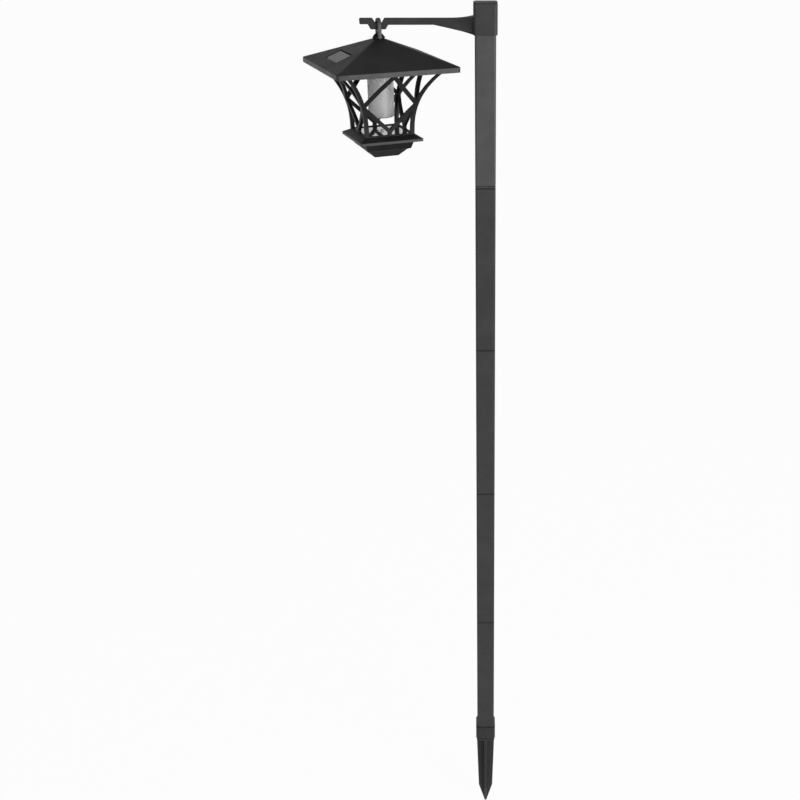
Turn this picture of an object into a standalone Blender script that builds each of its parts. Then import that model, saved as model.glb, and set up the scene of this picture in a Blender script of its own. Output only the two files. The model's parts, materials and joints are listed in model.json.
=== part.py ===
"""Solar garden light: a square lantern hung by its bail from the arm of a five-piece post on a ground spike.

The origin is on the post's axis at the ground line, which is the underside of the spike's collar.
The arm points along -X. The lantern's pieces are modelled about the lantern's own axis, with z = 0 at the
roof's flat top, under an empty that hangs below the arm and turns with the lantern.
"""

import math

import bmesh
import bpy
from mathutils import Matrix

MM = 0.001

# Clearances
GAP = 0.3 * MM             # between pieces that touch
SOCKET_FIT = 0.4 * MM      # round a tube in its socket, on each side
SEAT_GAP = 0.5 * MM        # under the bail, which rocks on the arm

# Post
POLE_SIDE = 31.0 * MM
POLE_CORNER = 3.0 * MM
POLE_WALL = 1.6 * MM
TUBE_LENGTH = 263.4 * MM
TUBE_COUNT = 5
COUPLER_FLANGE = 1.0 * MM
COUPLER_PLUG = 30.0 * MM
COUPLER_WALL = 2.0 * MM

# Ground spike
SPIKE_COLLAR_WALL = 1.9 * MM
SPIKE_COLLAR_HEIGHT = 26.0 * MM
SPIKE_CHAMFER = 1.2 * MM
SPIKE_NECK_HEIGHT = 6.0 * MM
SPIKE_LENGTH = 167.0 * MM
SPIKE_SPAN = 33.0 * MM
SPIKE_SPAN_LOW = 26.0 * MM
SPIKE_POINT = 40.0 * MM
SPIKE_TIP = 3.0 * MM
BLADE_THICK = 4.5 * MM

# Arm bracket
COLLAR_WALL = 1.6 * MM
COLLAR_HEIGHT = 44.5 * MM
COLLAR_ROOF = 3.0 * MM
COLLAR_EDGE = 2.0 * MM
ARM_REACH = 154.0 * MM
ARM_TIP = 27.0 * MM
ARM_RAKE = 0.6 * MM
ARM_HEIGHT = 9.0 * MM
ARM_TIP_HEIGHT = 8.1 * MM
ARM_THICK = 10.0 * MM
ARM_DROP = 22.2 * MM
ARM_BEVEL = 0.9 * MM
ARM_FLARE = 2.6 * MM
ARM_FLARE_LENGTH = 34.0 * MM
GUSSET_LENGTH = 57.0 * MM
GUSSET_LIFT = 0.4 * MM
GUSSET_POWER = 1.05        # how the gusset's underside steepens towards the collar
NOTCH_MOUTH = 17.4 * MM
NOTCH_FLOOR = 9.6 * MM
NOTCH_DEPTH = 6.4 * MM
SADDLE_DEPTH = 15.2 * MM
SADDLE_BASE = 20.0 * MM
SADDLE_SHOULDER = 31.0 * MM

# Bail
BAIL_WIDTH = 5.6 * MM
BAIL_THICK = 3.0 * MM
BAIL_INSIDE = 14.4 * MM
BAIL_LEG = 15.2 * MM
BAIL_BEVEL = 1.1 * MM
BAIL_EYE_RADIUS = 3.1 * MM
BAIL_PIN_RADIUS = 1.0 * MM
BAIL_PIN_LENGTH = 3.4 * MM
BAIL_YAW = math.radians(16.0)

# Finial hub
HUB_TOP_RADIUS = 6.2 * MM
HUB_RADIUS = 9.2 * MM
HUB_BASE_RADIUS = 8.0 * MM
HUB_HEIGHT = 6.6 * MM
HUB_WAIST = 2.0 * MM
HUB_EDGE = 0.8 * MM
HUB_PIN_HEIGHT = 3.2 * MM
HUB_STEM_RADIUS = 4.2 * MM
HUB_WASHER_RADIUS = 7.5 * MM
HUB_WASHER_THICK = 1.2 * MM

# Roof
LANTERN_YAW = math.radians(22.5)
ROOF_SIDE = 182.4 * MM
ROOF_RISE = 32.4 * MM
ROOF_FASCIA = 7.5 * MM
ROOF_CORNER = 3.0 * MM
ROOF_WALL = 2.2 * MM
ROOF_EDGE = 0.7 * MM
APEX_SIDE = 17.0 * MM
APEX_THICK = 3.0 * MM
SOFFIT_RECESS = 2.4 * MM
SOFFIT_THICK = 2.4 * MM
BOSS_RADIUS = 3.8 * MM
ROOF_BOSS_OFFSET = 78.0 * MM

# Solar panel, in the roof slope on the lantern's -x side
PANEL_LONG = 54.0 * MM
PANEL_SHORT = 25.0 * MM
PANEL_THICK = 2.2 * MM
PANEL_CORNER = 1.0 * MM
PANEL_SINK = 1.6 * MM
PANEL_CENTRE = 61.0 * MM
GASKET_THICK = 0.8 * MM
GASKET_WIDTH = 3.0 * MM
TRAY_WALL = 2.0 * MM
TRAY_FLOOR = 1.4 * MM
LEAD_RADIUS = 0.7 * MM
LEAD_SPACING = 6.0 * MM

# Cage
CAGE_HEIGHT = 95.4 * MM
CAGE_BASE = 38.0 * MM      # half the width over the posts at the bottom
CAGE_TOP = 75.4 * MM       # half the width over the posts at the top
CAGE_FLARE = 2.5           # power of the curve that the posts follow
CAGE_THICK = 5.2 * MM
CAGE_POST_LAND = 0.9 * MM
CAGE_BAR = 5.8 * MM
CAGE_RING = 1.6 * MM
CAGE_FRAME = 2.4 * MM
CAGE_CROWN = 0.5 * MM      # the top frame is this much deeper at the diamonds' points
CAGE_FLANGE = 13.0 * MM
CAGE_FLANGE_THICK = 1.9 * MM
CAGE_MIDDLE = 44.8 * MM    # height at which the diamonds meet the posts
CAGE_PEAK = 6.0 * MM       # the diamonds' upper points, below the top
CAGE_FOOT = 6.6 * MM       # the diamonds' lower points, above the bottom
CAGE_FILLET = 1.4 * MM
CAGE_LEVELS = 11
PEG_RADIUS = 1.6 * MM
PEG_LENGTH = 4.6 * MM
CAGE_SCREW_OFFSET = 40.0 * MM

# Base
BASE_SIDE = 96.0 * MM
BASE_EDGE = 4.0 * MM
BASE_RISE = 5.0 * MM
BASE_CORNER = 1.5 * MM
BASE_TOP_WALL = 3.0 * MM
REFLECTOR_THICK = 0.8 * MM
FOOT_TOP = 75.0 * MM
FOOT_STEP = 67.6 * MM
FOOT_LEDGE = 59.2 * MM
FOOT_SOLE = 37.6 * MM
FOOT_UPPER = 11.6 * MM
FOOT_TREAD = 1.4 * MM
FOOT_LOWER = 11.1 * MM
FOOT_WALL = 2.4 * MM
FOOT_SPIGOT = 2.6 * MM
FOOT_BOSS = 9.0 * MM

# Lamp unit
DIFFUSER_RADIUS = 19.3 * MM
DIFFUSER_BOTTOM = 111.1 * MM   # below the roof's flat top
DIFFUSER_WALL = 1.6 * MM
DIFFUSER_EDGE = 3.0 * MM
DIFFUSER_LIP = 2.6 * MM
FLANGE_THICK = 2.0 * MM
STEM_RADIUS = 14.8 * MM
STEM_WALL = 1.6 * MM
STEM_LENGTH = 51.5 * MM
STEM_FLOOR = 2.0 * MM
STEM_GUIDE = 5.0 * MM
CAP_THICK = 2.0 * MM
CELL_RADIUS = 7.1 * MM
CELL_LENGTH = 29.0 * MM
CELL_NUB_RADIUS = 2.6 * MM
CELL_NUB = 1.2 * MM
CELL_FIT = 0.4 * MM
CONTACT_THICK = 0.5 * MM
SPRING_WIRE = 0.35 * MM
SPRING_RADIUS = 5.2 * MM
SPRING_TOP_RADIUS = 3.0 * MM
SPRING_TURNS = 6
LED_RADIUS = 2.5 * MM
LED_FLANGE = 0.7 * MM
LED_BODY = 3.0 * MM

# Control board and switch
BOARD_LENGTH = 34.0 * MM
BOARD_WIDTH = 30.0 * MM
BOARD_THICK = 1.6 * MM
BOARD_CENTRE = 47.0 * MM
BOARD_STAND = 6.2 * MM
BOARD_SCREW_INSET = 4.5 * MM
SWITCH_LENGTH = 12.0 * MM
SWITCH_WIDTH = 6.0 * MM
SWITCH_HEIGHT = 3.6 * MM
KNOB_LENGTH = 3.4 * MM
KNOB_WIDTH = 3.0 * MM
KNOB_PROUD = 2.2 * MM
KNOB_FLANGE = 6.0 * MM
KNOB_FLANGE_THICK = 1.2 * MM
KNOB_TRAVEL = 4.0 * MM

# Screws
SCREW_RADIUS = 1.2 * MM
SCREW_HEAD_RADIUS = 2.6 * MM
SCREW_HEAD = 1.8 * MM
SCREW_BITE = 6.0 * MM

# Facets
CORNER_STEPS = 3
ROUND_STEPS = 32
PLAIN_STEPS = 20
SCREW_STEPS = 8
FILLET_STEPS = 2
CURVE_STEPS = 6

# Heights that follow from the sizes above
TUBE_PITCH = TUBE_LENGTH + COUPLER_FLANGE + 2 * GAP
POLE_TOP = GAP + (TUBE_COUNT - 1) * TUBE_PITCH + TUBE_LENGTH
COLLAR_TOP = POLE_TOP + GAP + COLLAR_ROOF
COLLAR_SIDE = POLE_SIDE + 2 * (SOCKET_FIT + COLLAR_WALL)
ARM_TOP = COLLAR_TOP - ARM_DROP
NOTCH_Z = ARM_TOP - NOTCH_DEPTH
BAIL_RADIUS = BAIL_INSIDE / 2
BAIL_SEAT = ARM_THICK / 2 / math.cos(BAIL_YAW) + BAIL_WIDTH / 2 * math.tan(BAIL_YAW)
BAIL_ARCH_Z = NOTCH_Z + SEAT_GAP - math.sqrt(BAIL_RADIUS ** 2 - BAIL_SEAT ** 2)
BAIL_PIN_Z = BAIL_ARCH_Z - BAIL_LEG
HUB_Z = BAIL_PIN_Z - HUB_PIN_HEIGHT
ROOF_Z = HUB_Z - GAP

# Heights below the roof's flat top, in the lantern's own frame
ROOF_SLOPE = math.atan2(ROOF_RISE, (ROOF_SIDE - APEX_SIDE) / 2)
EAVE_Z = -ROOF_RISE - ROOF_FASCIA
SOFFIT_UNDER = EAVE_Z + SOFFIT_RECESS
SOFFIT_TOP = SOFFIT_UNDER + SOFFIT_THICK
CAGE_TOP_Z = SOFFIT_UNDER - GAP
CAGE_BOTTOM_Z = CAGE_TOP_Z - CAGE_HEIGHT
CAGE_POST = CAGE_THICK + CAGE_POST_LAND
BASE_TOP_Z = CAGE_BOTTOM_Z - GAP
BASE_BOTTOM_Z = BASE_TOP_Z - BASE_RISE - BASE_EDGE
BASE_RECESS_Z = BASE_TOP_Z - BASE_TOP_WALL
FOOT_TOP_Z = BASE_BOTTOM_Z - GAP
FOOT_SOLE_Z = FOOT_TOP_Z - FOOT_UPPER - FOOT_TREAD - FOOT_LOWER
STEM_TOP = SOFFIT_TOP + 2 * GAP + 2 * FLANGE_THICK
STEM_BOTTOM = STEM_TOP - STEM_LENGTH
BOARD_UNDER = SOFFIT_TOP + BOARD_STAND + GAP
HOLE_RADIUS = SCREW_RADIUS + GAP


# Scene and materials

def clear_scene():
    """Remove whatever the file holds, so that the script starts from nothing."""
    for obj in list(bpy.data.objects):
        bpy.data.objects.remove(obj, do_unlink=True)


def new_collection(name):
    collection = bpy.data.collections.new(name)
    bpy.context.scene.collection.children.link(collection)
    return collection


def material(name, colour, roughness, metallic=0.0):
    """A plain Principled material of one grey or colour."""
    made = bpy.data.materials.new(name)
    made.use_nodes = True
    shader = made.node_tree.nodes["Principled BSDF"]
    shader.inputs["Base Color"].default_value = (*colour, 1.0)
    shader.inputs["Roughness"].default_value = roughness
    shader.inputs["Metallic"].default_value = metallic
    return made


clear_scene()
PARTS = new_collection("solar_garden_light")
CUTTERS = new_collection("cutters")

POST_PLASTIC = material("post_plastic", (0.060, 0.060, 0.062), 0.45)
LANTERN_PLASTIC = material("lantern_plastic", (0.030, 0.030, 0.031), 0.50)
CAGE_PLASTIC = material("cage_plastic", (0.035, 0.035, 0.036), 0.45)
CLEAR_PLASTIC = material("frosted_plastic", (0.62, 0.62, 0.62), 0.35)
WHITE_PLASTIC = material("white_plastic", (0.75, 0.75, 0.74), 0.40)
SILVER_SHEET = material("silver_sheet", (0.80, 0.80, 0.80), 0.15, 1.0)
PANEL_GLASS = material("panel_glass", (0.10, 0.10, 0.11), 0.15)
RUBBER = material("rubber", (0.02, 0.02, 0.02), 0.80)
BOARD_GREEN = material("board_green", (0.02, 0.16, 0.07), 0.45)
STEEL = material("steel", (0.55, 0.55, 0.56), 0.30, 1.0)
CELL_SLEEVE = material("cell_sleeve", (0.05, 0.20, 0.42), 0.35)
LED_LENS = material("led_lens", (0.85, 0.82, 0.60), 0.10)
WIRE_RED = material("wire_red", (0.50, 0.03, 0.03), 0.50)
WIRE_BLACK = material("wire_black", (0.02, 0.02, 0.02), 0.50)


# Modelling helpers

def frame(name, location, yaw=0.0, pitch=0.0, parent=None):
    """An empty that carries pieces: pitch turns it about its own y axis, then yaw about z."""
    empty = bpy.data.objects.new(name, None)
    empty.location = location
    empty.rotation_euler = (0.0, pitch, yaw)
    empty.parent = parent
    PARTS.objects.link(empty)
    return empty


def part(name, mesh, finish, parent=None, location=(0.0, 0.0, 0.0)):
    """A named piece of the object."""
    obj = bpy.data.objects.new(name, mesh)
    obj.location = location
    obj.parent = parent
    mesh.materials.append(finish)
    PARTS.objects.link(obj)
    return obj


def cutter(mesh, parent=None, location=(0.0, 0.0, 0.0), rotation=(0.0, 0.0, 0.0)):
    """A body that a piece is joined with or cut by, and that isn't a piece itself."""
    obj = bpy.data.objects.new("cutter", mesh)
    obj.location = location
    obj.rotation_euler = rotation
    obj.parent = parent
    obj.hide_render = True
    obj.display_type = "WIRE"
    CUTTERS.objects.link(obj)
    return obj


def combine(target, other, operation):
    boolean = target.modifiers.new(operation.lower(), "BOOLEAN")
    boolean.operation = operation
    boolean.object = other


def cut(target, other):
    combine(target, other, "DIFFERENCE")


def join(target, other):
    combine(target, other, "UNION")


def finish_mesh(name, bm):
    """Face a closed bmesh outwards and make it a mesh."""
    bmesh.ops.recalc_face_normals(bm, faces=bm.faces)
    mesh = bpy.data.meshes.new(name)
    bm.to_mesh(mesh)
    bm.free()
    return mesh


def box(size, centre=(0.0, 0.0, 0.0)):
    """A rectangular block."""
    bm = bmesh.new()
    bmesh.ops.create_cube(bm, size=1.0, matrix=Matrix.Translation(centre) @ Matrix.Diagonal((*size, 1.0)))
    return finish_mesh("box", bm)


def cylinder(radius, low, high, steps=ROUND_STEPS, centre=(0.0, 0.0)):
    """An upright cylinder from one height to another."""
    bm = bmesh.new()
    middle = Matrix.Translation((*centre, (low + high) / 2))
    bmesh.ops.create_cone(bm, cap_ends=True, segments=steps, radius1=radius, radius2=radius,
                          depth=high - low, matrix=middle)
    return finish_mesh("cylinder", bm)


def turned(profile, steps=ROUND_STEPS, closed=False):
    """A profile of (radius, height) that runs down its outer side, turned about z."""
    bm = bmesh.new()
    points = [bm.verts.new((radius, 0.0, height)) for radius, height in profile]
    pairs = list(zip(points, points[1:]))
    if closed:
        pairs.append((points[-1], points[0]))
    for first, second in pairs:
        bm.edges.new((first, second))
    mesh = bpy.data.meshes.new("turned")
    bm.to_mesh(mesh)
    bm.free()
    holder = bpy.data.objects.new("turned", mesh)
    screw = holder.modifiers.new("screw", "SCREW")
    screw.steps = steps
    screw.render_steps = steps
    screw.use_merge_vertices = True
    screw.merge_threshold = 0.000001
    made = evaluated_mesh(holder)
    made.shade_smooth()
    made.set_sharp_from_angle(angle=math.radians(35))
    return made


def evaluated_mesh(holder):
    """The mesh that an object's modifiers or curve settings make, with its seams welded."""
    bpy.context.scene.collection.objects.link(holder)
    depsgraph = bpy.context.evaluated_depsgraph_get()
    mesh = bpy.data.meshes.new_from_object(holder.evaluated_get(depsgraph))
    bpy.data.objects.remove(holder, do_unlink=True)
    bm = bmesh.new()
    bm.from_mesh(mesh)
    bmesh.ops.remove_doubles(bm, verts=bm.verts, dist=0.000001)
    bmesh.ops.recalc_face_normals(bm, faces=bm.faces)
    bm.to_mesh(mesh)
    bm.free()
    return mesh


def plate(outlines, thickness, edge=0.0):
    """Flat outlines, the first with the others as holes, thickened about the xy plane, with rounded edges."""
    curve = bpy.data.curves.new("outline", "CURVE")
    curve.dimensions = "2D"
    curve.fill_mode = "BOTH"
    curve.extrude = thickness / 2 - edge
    curve.bevel_depth = edge
    curve.bevel_resolution = 1
    curve.offset = -edge
    for outline in outlines:
        spline = curve.splines.new("POLY")
        spline.points.add(len(outline) - 1)
        spline.use_cyclic_u = True
        for point, (x, y) in zip(spline.points, outline):
            point.co = (x, y, 0.0, 1.0)
    return evaluated_mesh(bpy.data.objects.new("outline", curve))


def upright(mesh):
    """Turn a plate drawn in x and y so that its y becomes height."""
    mesh.transform(Matrix.Rotation(math.radians(90), 4, "X"))
    return mesh


def rounded_rectangle(length, width, radius):
    """Points round a rectangle with round corners, anticlockwise from the +x side."""
    points = []
    for quarter, (side_x, side_y) in enumerate(((1, 1), (-1, 1), (-1, -1), (1, -1))):
        for step in range(CORNER_STEPS + 1):
            angle = math.radians(90) * (quarter + step / CORNER_STEPS)
            x = side_x * (length / 2 - radius) + radius * math.cos(angle)
            y = side_y * (width / 2 - radius) + radius * math.sin(angle)
            points.append((x, y))
    return points


def square_loft(sections):
    """A closed body through level squares of (side, corner radius, height), with flat ends."""
    bm = bmesh.new()
    loops = []
    for side, radius, height in sections:
        outline = rounded_rectangle(side, side, radius)
        loops.append([bm.verts.new((x, y, height)) for x, y in outline])
    count = len(loops[0])
    for below, above in zip(loops, loops[1:]):
        for index in range(count):
            after = (index + 1) % count
            bm.faces.new((below[index], below[after], above[after], above[index]))
    bm.faces.new(loops[0])
    bm.faces.new(loops[-1])
    return finish_mesh("loft", bm)


def quarter_turn():
    """Angles from 0 to 90 degrees in even steps."""
    return [math.radians(90) * step / CURVE_STEPS for step in range(CURVE_STEPS + 1)]


def rounded_rim(side, corner, top, edge):
    """Sections, from below, of a square body whose top edge is rounded."""
    sections = []
    for step in range(CORNER_STEPS + 1):
        angle = math.radians(90) * step / CORNER_STEPS
        inset = edge * (1 - math.cos(angle))
        sections.append((side - 2 * inset, corner - inset, top - edge + edge * math.sin(angle)))
    return sections


def tube(points, radius, sides=2):
    """A round wire along points."""
    curve = bpy.data.curves.new("wire", "CURVE")
    curve.dimensions = "3D"
    curve.bevel_depth = radius
    curve.bevel_resolution = sides
    curve.use_fill_caps = True
    spline = curve.splines.new("POLY")
    spline.points.add(len(points) - 1)
    for point, place in zip(spline.points, points):
        point.co = (*place, 1.0)
    return evaluated_mesh(bpy.data.objects.new("wire", curve))


def screw_mesh(length):
    """A pan-head screw that points up, with the underside of its head at z = 0."""
    return turned([
        (0.0, length),
        (SCREW_RADIUS, length - SCREW_RADIUS),
        (SCREW_RADIUS, 0.0),
        (SCREW_HEAD_RADIUS, 0.0),
        (SCREW_HEAD_RADIUS, -0.5 * SCREW_HEAD),
        (0.6 * SCREW_HEAD_RADIUS, -SCREW_HEAD),
        (0.0, -SCREW_HEAD),
    ], SCREW_STEPS)


# Post

def make_tubes():
    """Equal square tubes, stacked from the spike's socket up to the collar."""
    outer = rounded_rectangle(POLE_SIDE, POLE_SIDE, POLE_CORNER)
    bore_side = POLE_SIDE - 2 * POLE_WALL
    bore = rounded_rectangle(bore_side, bore_side, POLE_CORNER - POLE_WALL)
    mesh = plate([outer, bore], TUBE_LENGTH)
    for index in range(TUBE_COUNT):
        middle = GAP + index * TUBE_PITCH + TUBE_LENGTH / 2
        part(f"pole_tube_{index + 1}", mesh.copy(), POST_PLASTIC, location=(0.0, 0.0, middle))


def make_couplers():
    """Hollow plugs that join one tube to the next, with a thin flange that shows at the seam."""
    plug_side = POLE_SIDE - 2 * (POLE_WALL + GAP)
    plug_corner = POLE_CORNER - POLE_WALL
    bore_side = plug_side - 2 * COUPLER_WALL
    half = COUPLER_FLANGE / 2
    mesh = square_loft([
        (plug_side, plug_corner, -half - COUPLER_PLUG),
        (plug_side, plug_corner, -half),
        (POLE_SIDE, POLE_CORNER, -half),
        (POLE_SIDE, POLE_CORNER, half),
        (plug_side, plug_corner, half),
        (plug_side, plug_corner, half + COUPLER_PLUG),
    ])
    reach = COUPLER_PLUG + COUPLER_FLANGE
    bore = square_loft([(bore_side, plug_corner, -reach), (bore_side, plug_corner, reach)])
    for index in range(TUBE_COUNT - 1):
        seam = GAP + index * TUBE_PITCH + TUBE_LENGTH + GAP + half
        coupler = part(f"pole_coupler_{index + 1}", mesh.copy(), POST_PLASTIC, location=(0.0, 0.0, seam))
        cut(coupler, cutter(bore, location=(0.0, 0.0, seam)))


def make_spike():
    """A cross-bladed stake under a square socket for the lowest tube."""
    socket = POLE_SIDE + 2 * SOCKET_FIT
    collar = socket + 2 * SPIKE_COLLAR_WALL
    corner = POLE_CORNER + SPIKE_COLLAR_WALL
    body = part("ground_spike", square_loft([
        (SPIKE_SPAN, POLE_CORNER, -SPIKE_NECK_HEIGHT),
        (SPIKE_SPAN, POLE_CORNER, 0.0),
        (collar, corner, 0.0),
        (collar, corner, SPIKE_COLLAR_HEIGHT - SPIKE_CHAMFER),
        (collar - 2 * SPIKE_CHAMFER, corner - SPIKE_CHAMFER, SPIKE_COLLAR_HEIGHT),
    ]), POST_PLASTIC)
    blade = [
        (SPIKE_SPAN / 2, -SPIKE_NECK_HEIGHT / 2),
        (-SPIKE_SPAN / 2, -SPIKE_NECK_HEIGHT / 2),
        (-SPIKE_SPAN_LOW / 2, SPIKE_POINT - SPIKE_LENGTH),
        (-SPIKE_TIP / 2, -SPIKE_LENGTH),
        (SPIKE_TIP / 2, -SPIKE_LENGTH),
        (SPIKE_SPAN_LOW / 2, SPIKE_POINT - SPIKE_LENGTH),
    ]
    blades = cutter(upright(plate([blade], BLADE_THICK)))
    crossed = cutter(upright(plate([blade], BLADE_THICK)), rotation=(0.0, 0.0, math.radians(90)))
    join(blades, crossed)
    join(body, blades)
    cut(body, cutter(square_loft([
        (socket, POLE_CORNER + SOCKET_FIT, 0.0),
        (socket, POLE_CORNER + SOCKET_FIT, SPIKE_COLLAR_HEIGHT + SPIKE_CHAMFER),
    ])))


def ease(start, end, steps):
    """Points on an S-shaped step from one place to another, both ends included."""
    points = []
    for step in range(steps + 1):
        along = step / steps
        across = (1 - math.cos(math.pi * along)) / 2
        points.append((start[0] + along * (end[0] - start[0]), start[1] + across * (end[1] - start[1])))
    return points


def arm_outline():
    """The arm's side view in x and z, from the collar out along its top and back along its underside."""
    root = -COLLAR_SIDE / 4
    face = -COLLAR_SIDE / 2
    underside = ARM_TOP - ARM_HEIGHT
    outer = ARM_TOP - ARM_TIP_HEIGHT
    saddle = ARM_TOP - SADDLE_DEPTH
    axis = -ARM_REACH
    top = [(root, ARM_TOP + ARM_FLARE)]
    for step in range(CURVE_STEPS + 1):
        along = step / CURVE_STEPS
        top.append((face - along * ARM_FLARE_LENGTH, ARM_TOP + ARM_FLARE * (1 - along) ** 2))
    notch = [
        (axis + NOTCH_MOUTH / 2, ARM_TOP),
        (axis + NOTCH_FLOOR / 2, NOTCH_Z),
        (axis - NOTCH_FLOOR / 2, NOTCH_Z),
        (axis - NOTCH_MOUTH / 2, ARM_TOP),
    ]
    tip = [(axis - ARM_TIP, ARM_TOP), (axis - ARM_TIP + ARM_RAKE, outer)]
    dip = ease((axis - SADDLE_SHOULDER / 2, outer), (axis - SADDLE_BASE / 2, saddle), CURVE_STEPS)
    rise = ease((axis + SADDLE_BASE / 2, saddle), (axis + SADDLE_SHOULDER / 2, underside), CURVE_STEPS)
    low = COLLAR_TOP - COLLAR_HEIGHT + GUSSET_LIFT
    gusset = []
    for step in range(CURVE_STEPS + 1):
        along = step / CURVE_STEPS
        height = underside + (low - underside) * along ** GUSSET_POWER
        gusset.append((face - (1 - along) * GUSSET_LENGTH, height))
    return top + notch + tip + dip + rise + gusset + [(root, low)]


def make_bracket():
    """The collar on top of the post and the notched arm that the lantern hangs from, in one moulding."""
    socket = POLE_SIDE + 2 * SOCKET_FIT
    corner = POLE_CORNER + COLLAR_WALL
    low = COLLAR_TOP - COLLAR_HEIGHT
    collar = part("arm_bracket", square_loft([
        (COLLAR_SIDE, corner, low),
        *rounded_rim(COLLAR_SIDE, corner, COLLAR_TOP, COLLAR_EDGE),
    ]), POST_PLASTIC)
    join(collar, cutter(upright(plate([arm_outline()], ARM_THICK, ARM_BEVEL))))
    cut(collar, cutter(square_loft([
        (socket, POLE_CORNER + SOCKET_FIT, low - COLLAR_EDGE),
        (socket, POLE_CORNER + SOCKET_FIT, COLLAR_TOP - COLLAR_ROOF),
    ])))


# Hanger

def make_bail():
    """A strap bent over the arm, whose eyes carry the pins that the hub turns on."""
    carrier = frame("bail_frame", (-ARM_REACH, 0.0, BAIL_ARCH_Z), BAIL_YAW)
    outer = BAIL_RADIUS + BAIL_THICK
    steps = 2 * CURVE_STEPS
    arch = [math.pi * step / steps for step in range(steps + 1)]
    outline = [(outer * math.cos(angle), outer * math.sin(angle)) for angle in arch]
    outline += [(-outer, -BAIL_LEG), (-BAIL_RADIUS, -BAIL_LEG)]
    outline += [(BAIL_RADIUS * math.cos(angle), BAIL_RADIUS * math.sin(angle)) for angle in reversed(arch)]
    outline += [(BAIL_RADIUS, -BAIL_LEG), (outer, -BAIL_LEG)]
    mesh = upright(plate([outline], BAIL_WIDTH, BAIL_BEVEL))
    mesh.transform(Matrix.Rotation(math.radians(90), 4, "Z"))
    bail = part("hanger_bail", mesh, POST_PLASTIC, carrier)
    for side in (1, -1):
        lying = (math.radians(90), 0.0, 0.0)
        eye = cutter(cylinder(BAIL_EYE_RADIUS, -BAIL_THICK / 2, BAIL_THICK / 2), carrier,
                     (0.0, side * (BAIL_RADIUS + BAIL_THICK / 2), -BAIL_LEG), lying)
        reach = BAIL_PIN_LENGTH + BAIL_THICK / 2
        pin = cutter(cylinder(BAIL_PIN_RADIUS, -reach / 2, reach / 2, SCREW_STEPS), carrier,
                     (0.0, side * (BAIL_RADIUS + BAIL_THICK / 2 - reach / 2), -BAIL_LEG), lying)
        join(bail, eye)
        join(bail, pin)


def make_hub():
    """A turned cone with two flats for the bail, held in the roof's top by a washer and a screw."""
    carrier = frame("hub_frame", (-ARM_REACH, 0.0, HUB_Z), BAIL_YAW)
    stem = APEX_THICK + 2 * GAP
    hub = part("finial_hub", turned([
        (0.0, HUB_HEIGHT),
        (HUB_TOP_RADIUS - HUB_EDGE, HUB_HEIGHT),
        (HUB_TOP_RADIUS, HUB_HEIGHT - HUB_EDGE),
        (HUB_RADIUS, HUB_WAIST),
        (HUB_RADIUS, HUB_WAIST - HUB_EDGE),
        (HUB_BASE_RADIUS, 0.0),
        (HUB_STEM_RADIUS, 0.0),
        (HUB_STEM_RADIUS, -stem),
        (0.0, -stem),
    ]), LANTERN_PLASTIC, carrier)
    flat = BAIL_RADIUS - GAP
    for side in (1, -1):
        middle = side * (flat + HUB_RADIUS / 2)
        slab = box((4 * HUB_RADIUS, HUB_RADIUS, 2 * HUB_HEIGHT), (0.0, middle, HUB_HEIGHT))
        cut(hub, cutter(slab, carrier))
    hole = cylinder(BAIL_PIN_RADIUS + GAP, -HUB_RADIUS, HUB_RADIUS, SCREW_STEPS)
    cut(hub, cutter(hole, carrier, (0.0, 0.0, HUB_PIN_HEIGHT), (math.radians(90), 0.0, 0.0)))
    bite = min(SCREW_BITE, stem - GAP)
    cut(hub, cutter(cylinder(HOLE_RADIUS, -stem - GAP, bite - stem, SCREW_STEPS), carrier))
    washer_top = -stem - GAP
    part("hub_washer", turned([
        (HUB_WASHER_RADIUS, washer_top),
        (HUB_WASHER_RADIUS, washer_top - HUB_WASHER_THICK),
        (HOLE_RADIUS, washer_top - HUB_WASHER_THICK),
        (HOLE_RADIUS, washer_top),
    ], SCREW_STEPS, True), STEEL, carrier)
    under = washer_top - HUB_WASHER_THICK - GAP
    part("hub_screw", screw_mesh(bite - stem - under - GAP), STEEL, carrier, (0.0, 0.0, under))


# Roof

def roof_inside(distance):
    """Height of the roof's inner face at a distance from the lantern's axis, square to a side."""
    return -(distance - APEX_SIDE / 2) * math.tan(ROOF_SLOPE) - ROOF_WALL / math.cos(ROOF_SLOPE)


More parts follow.
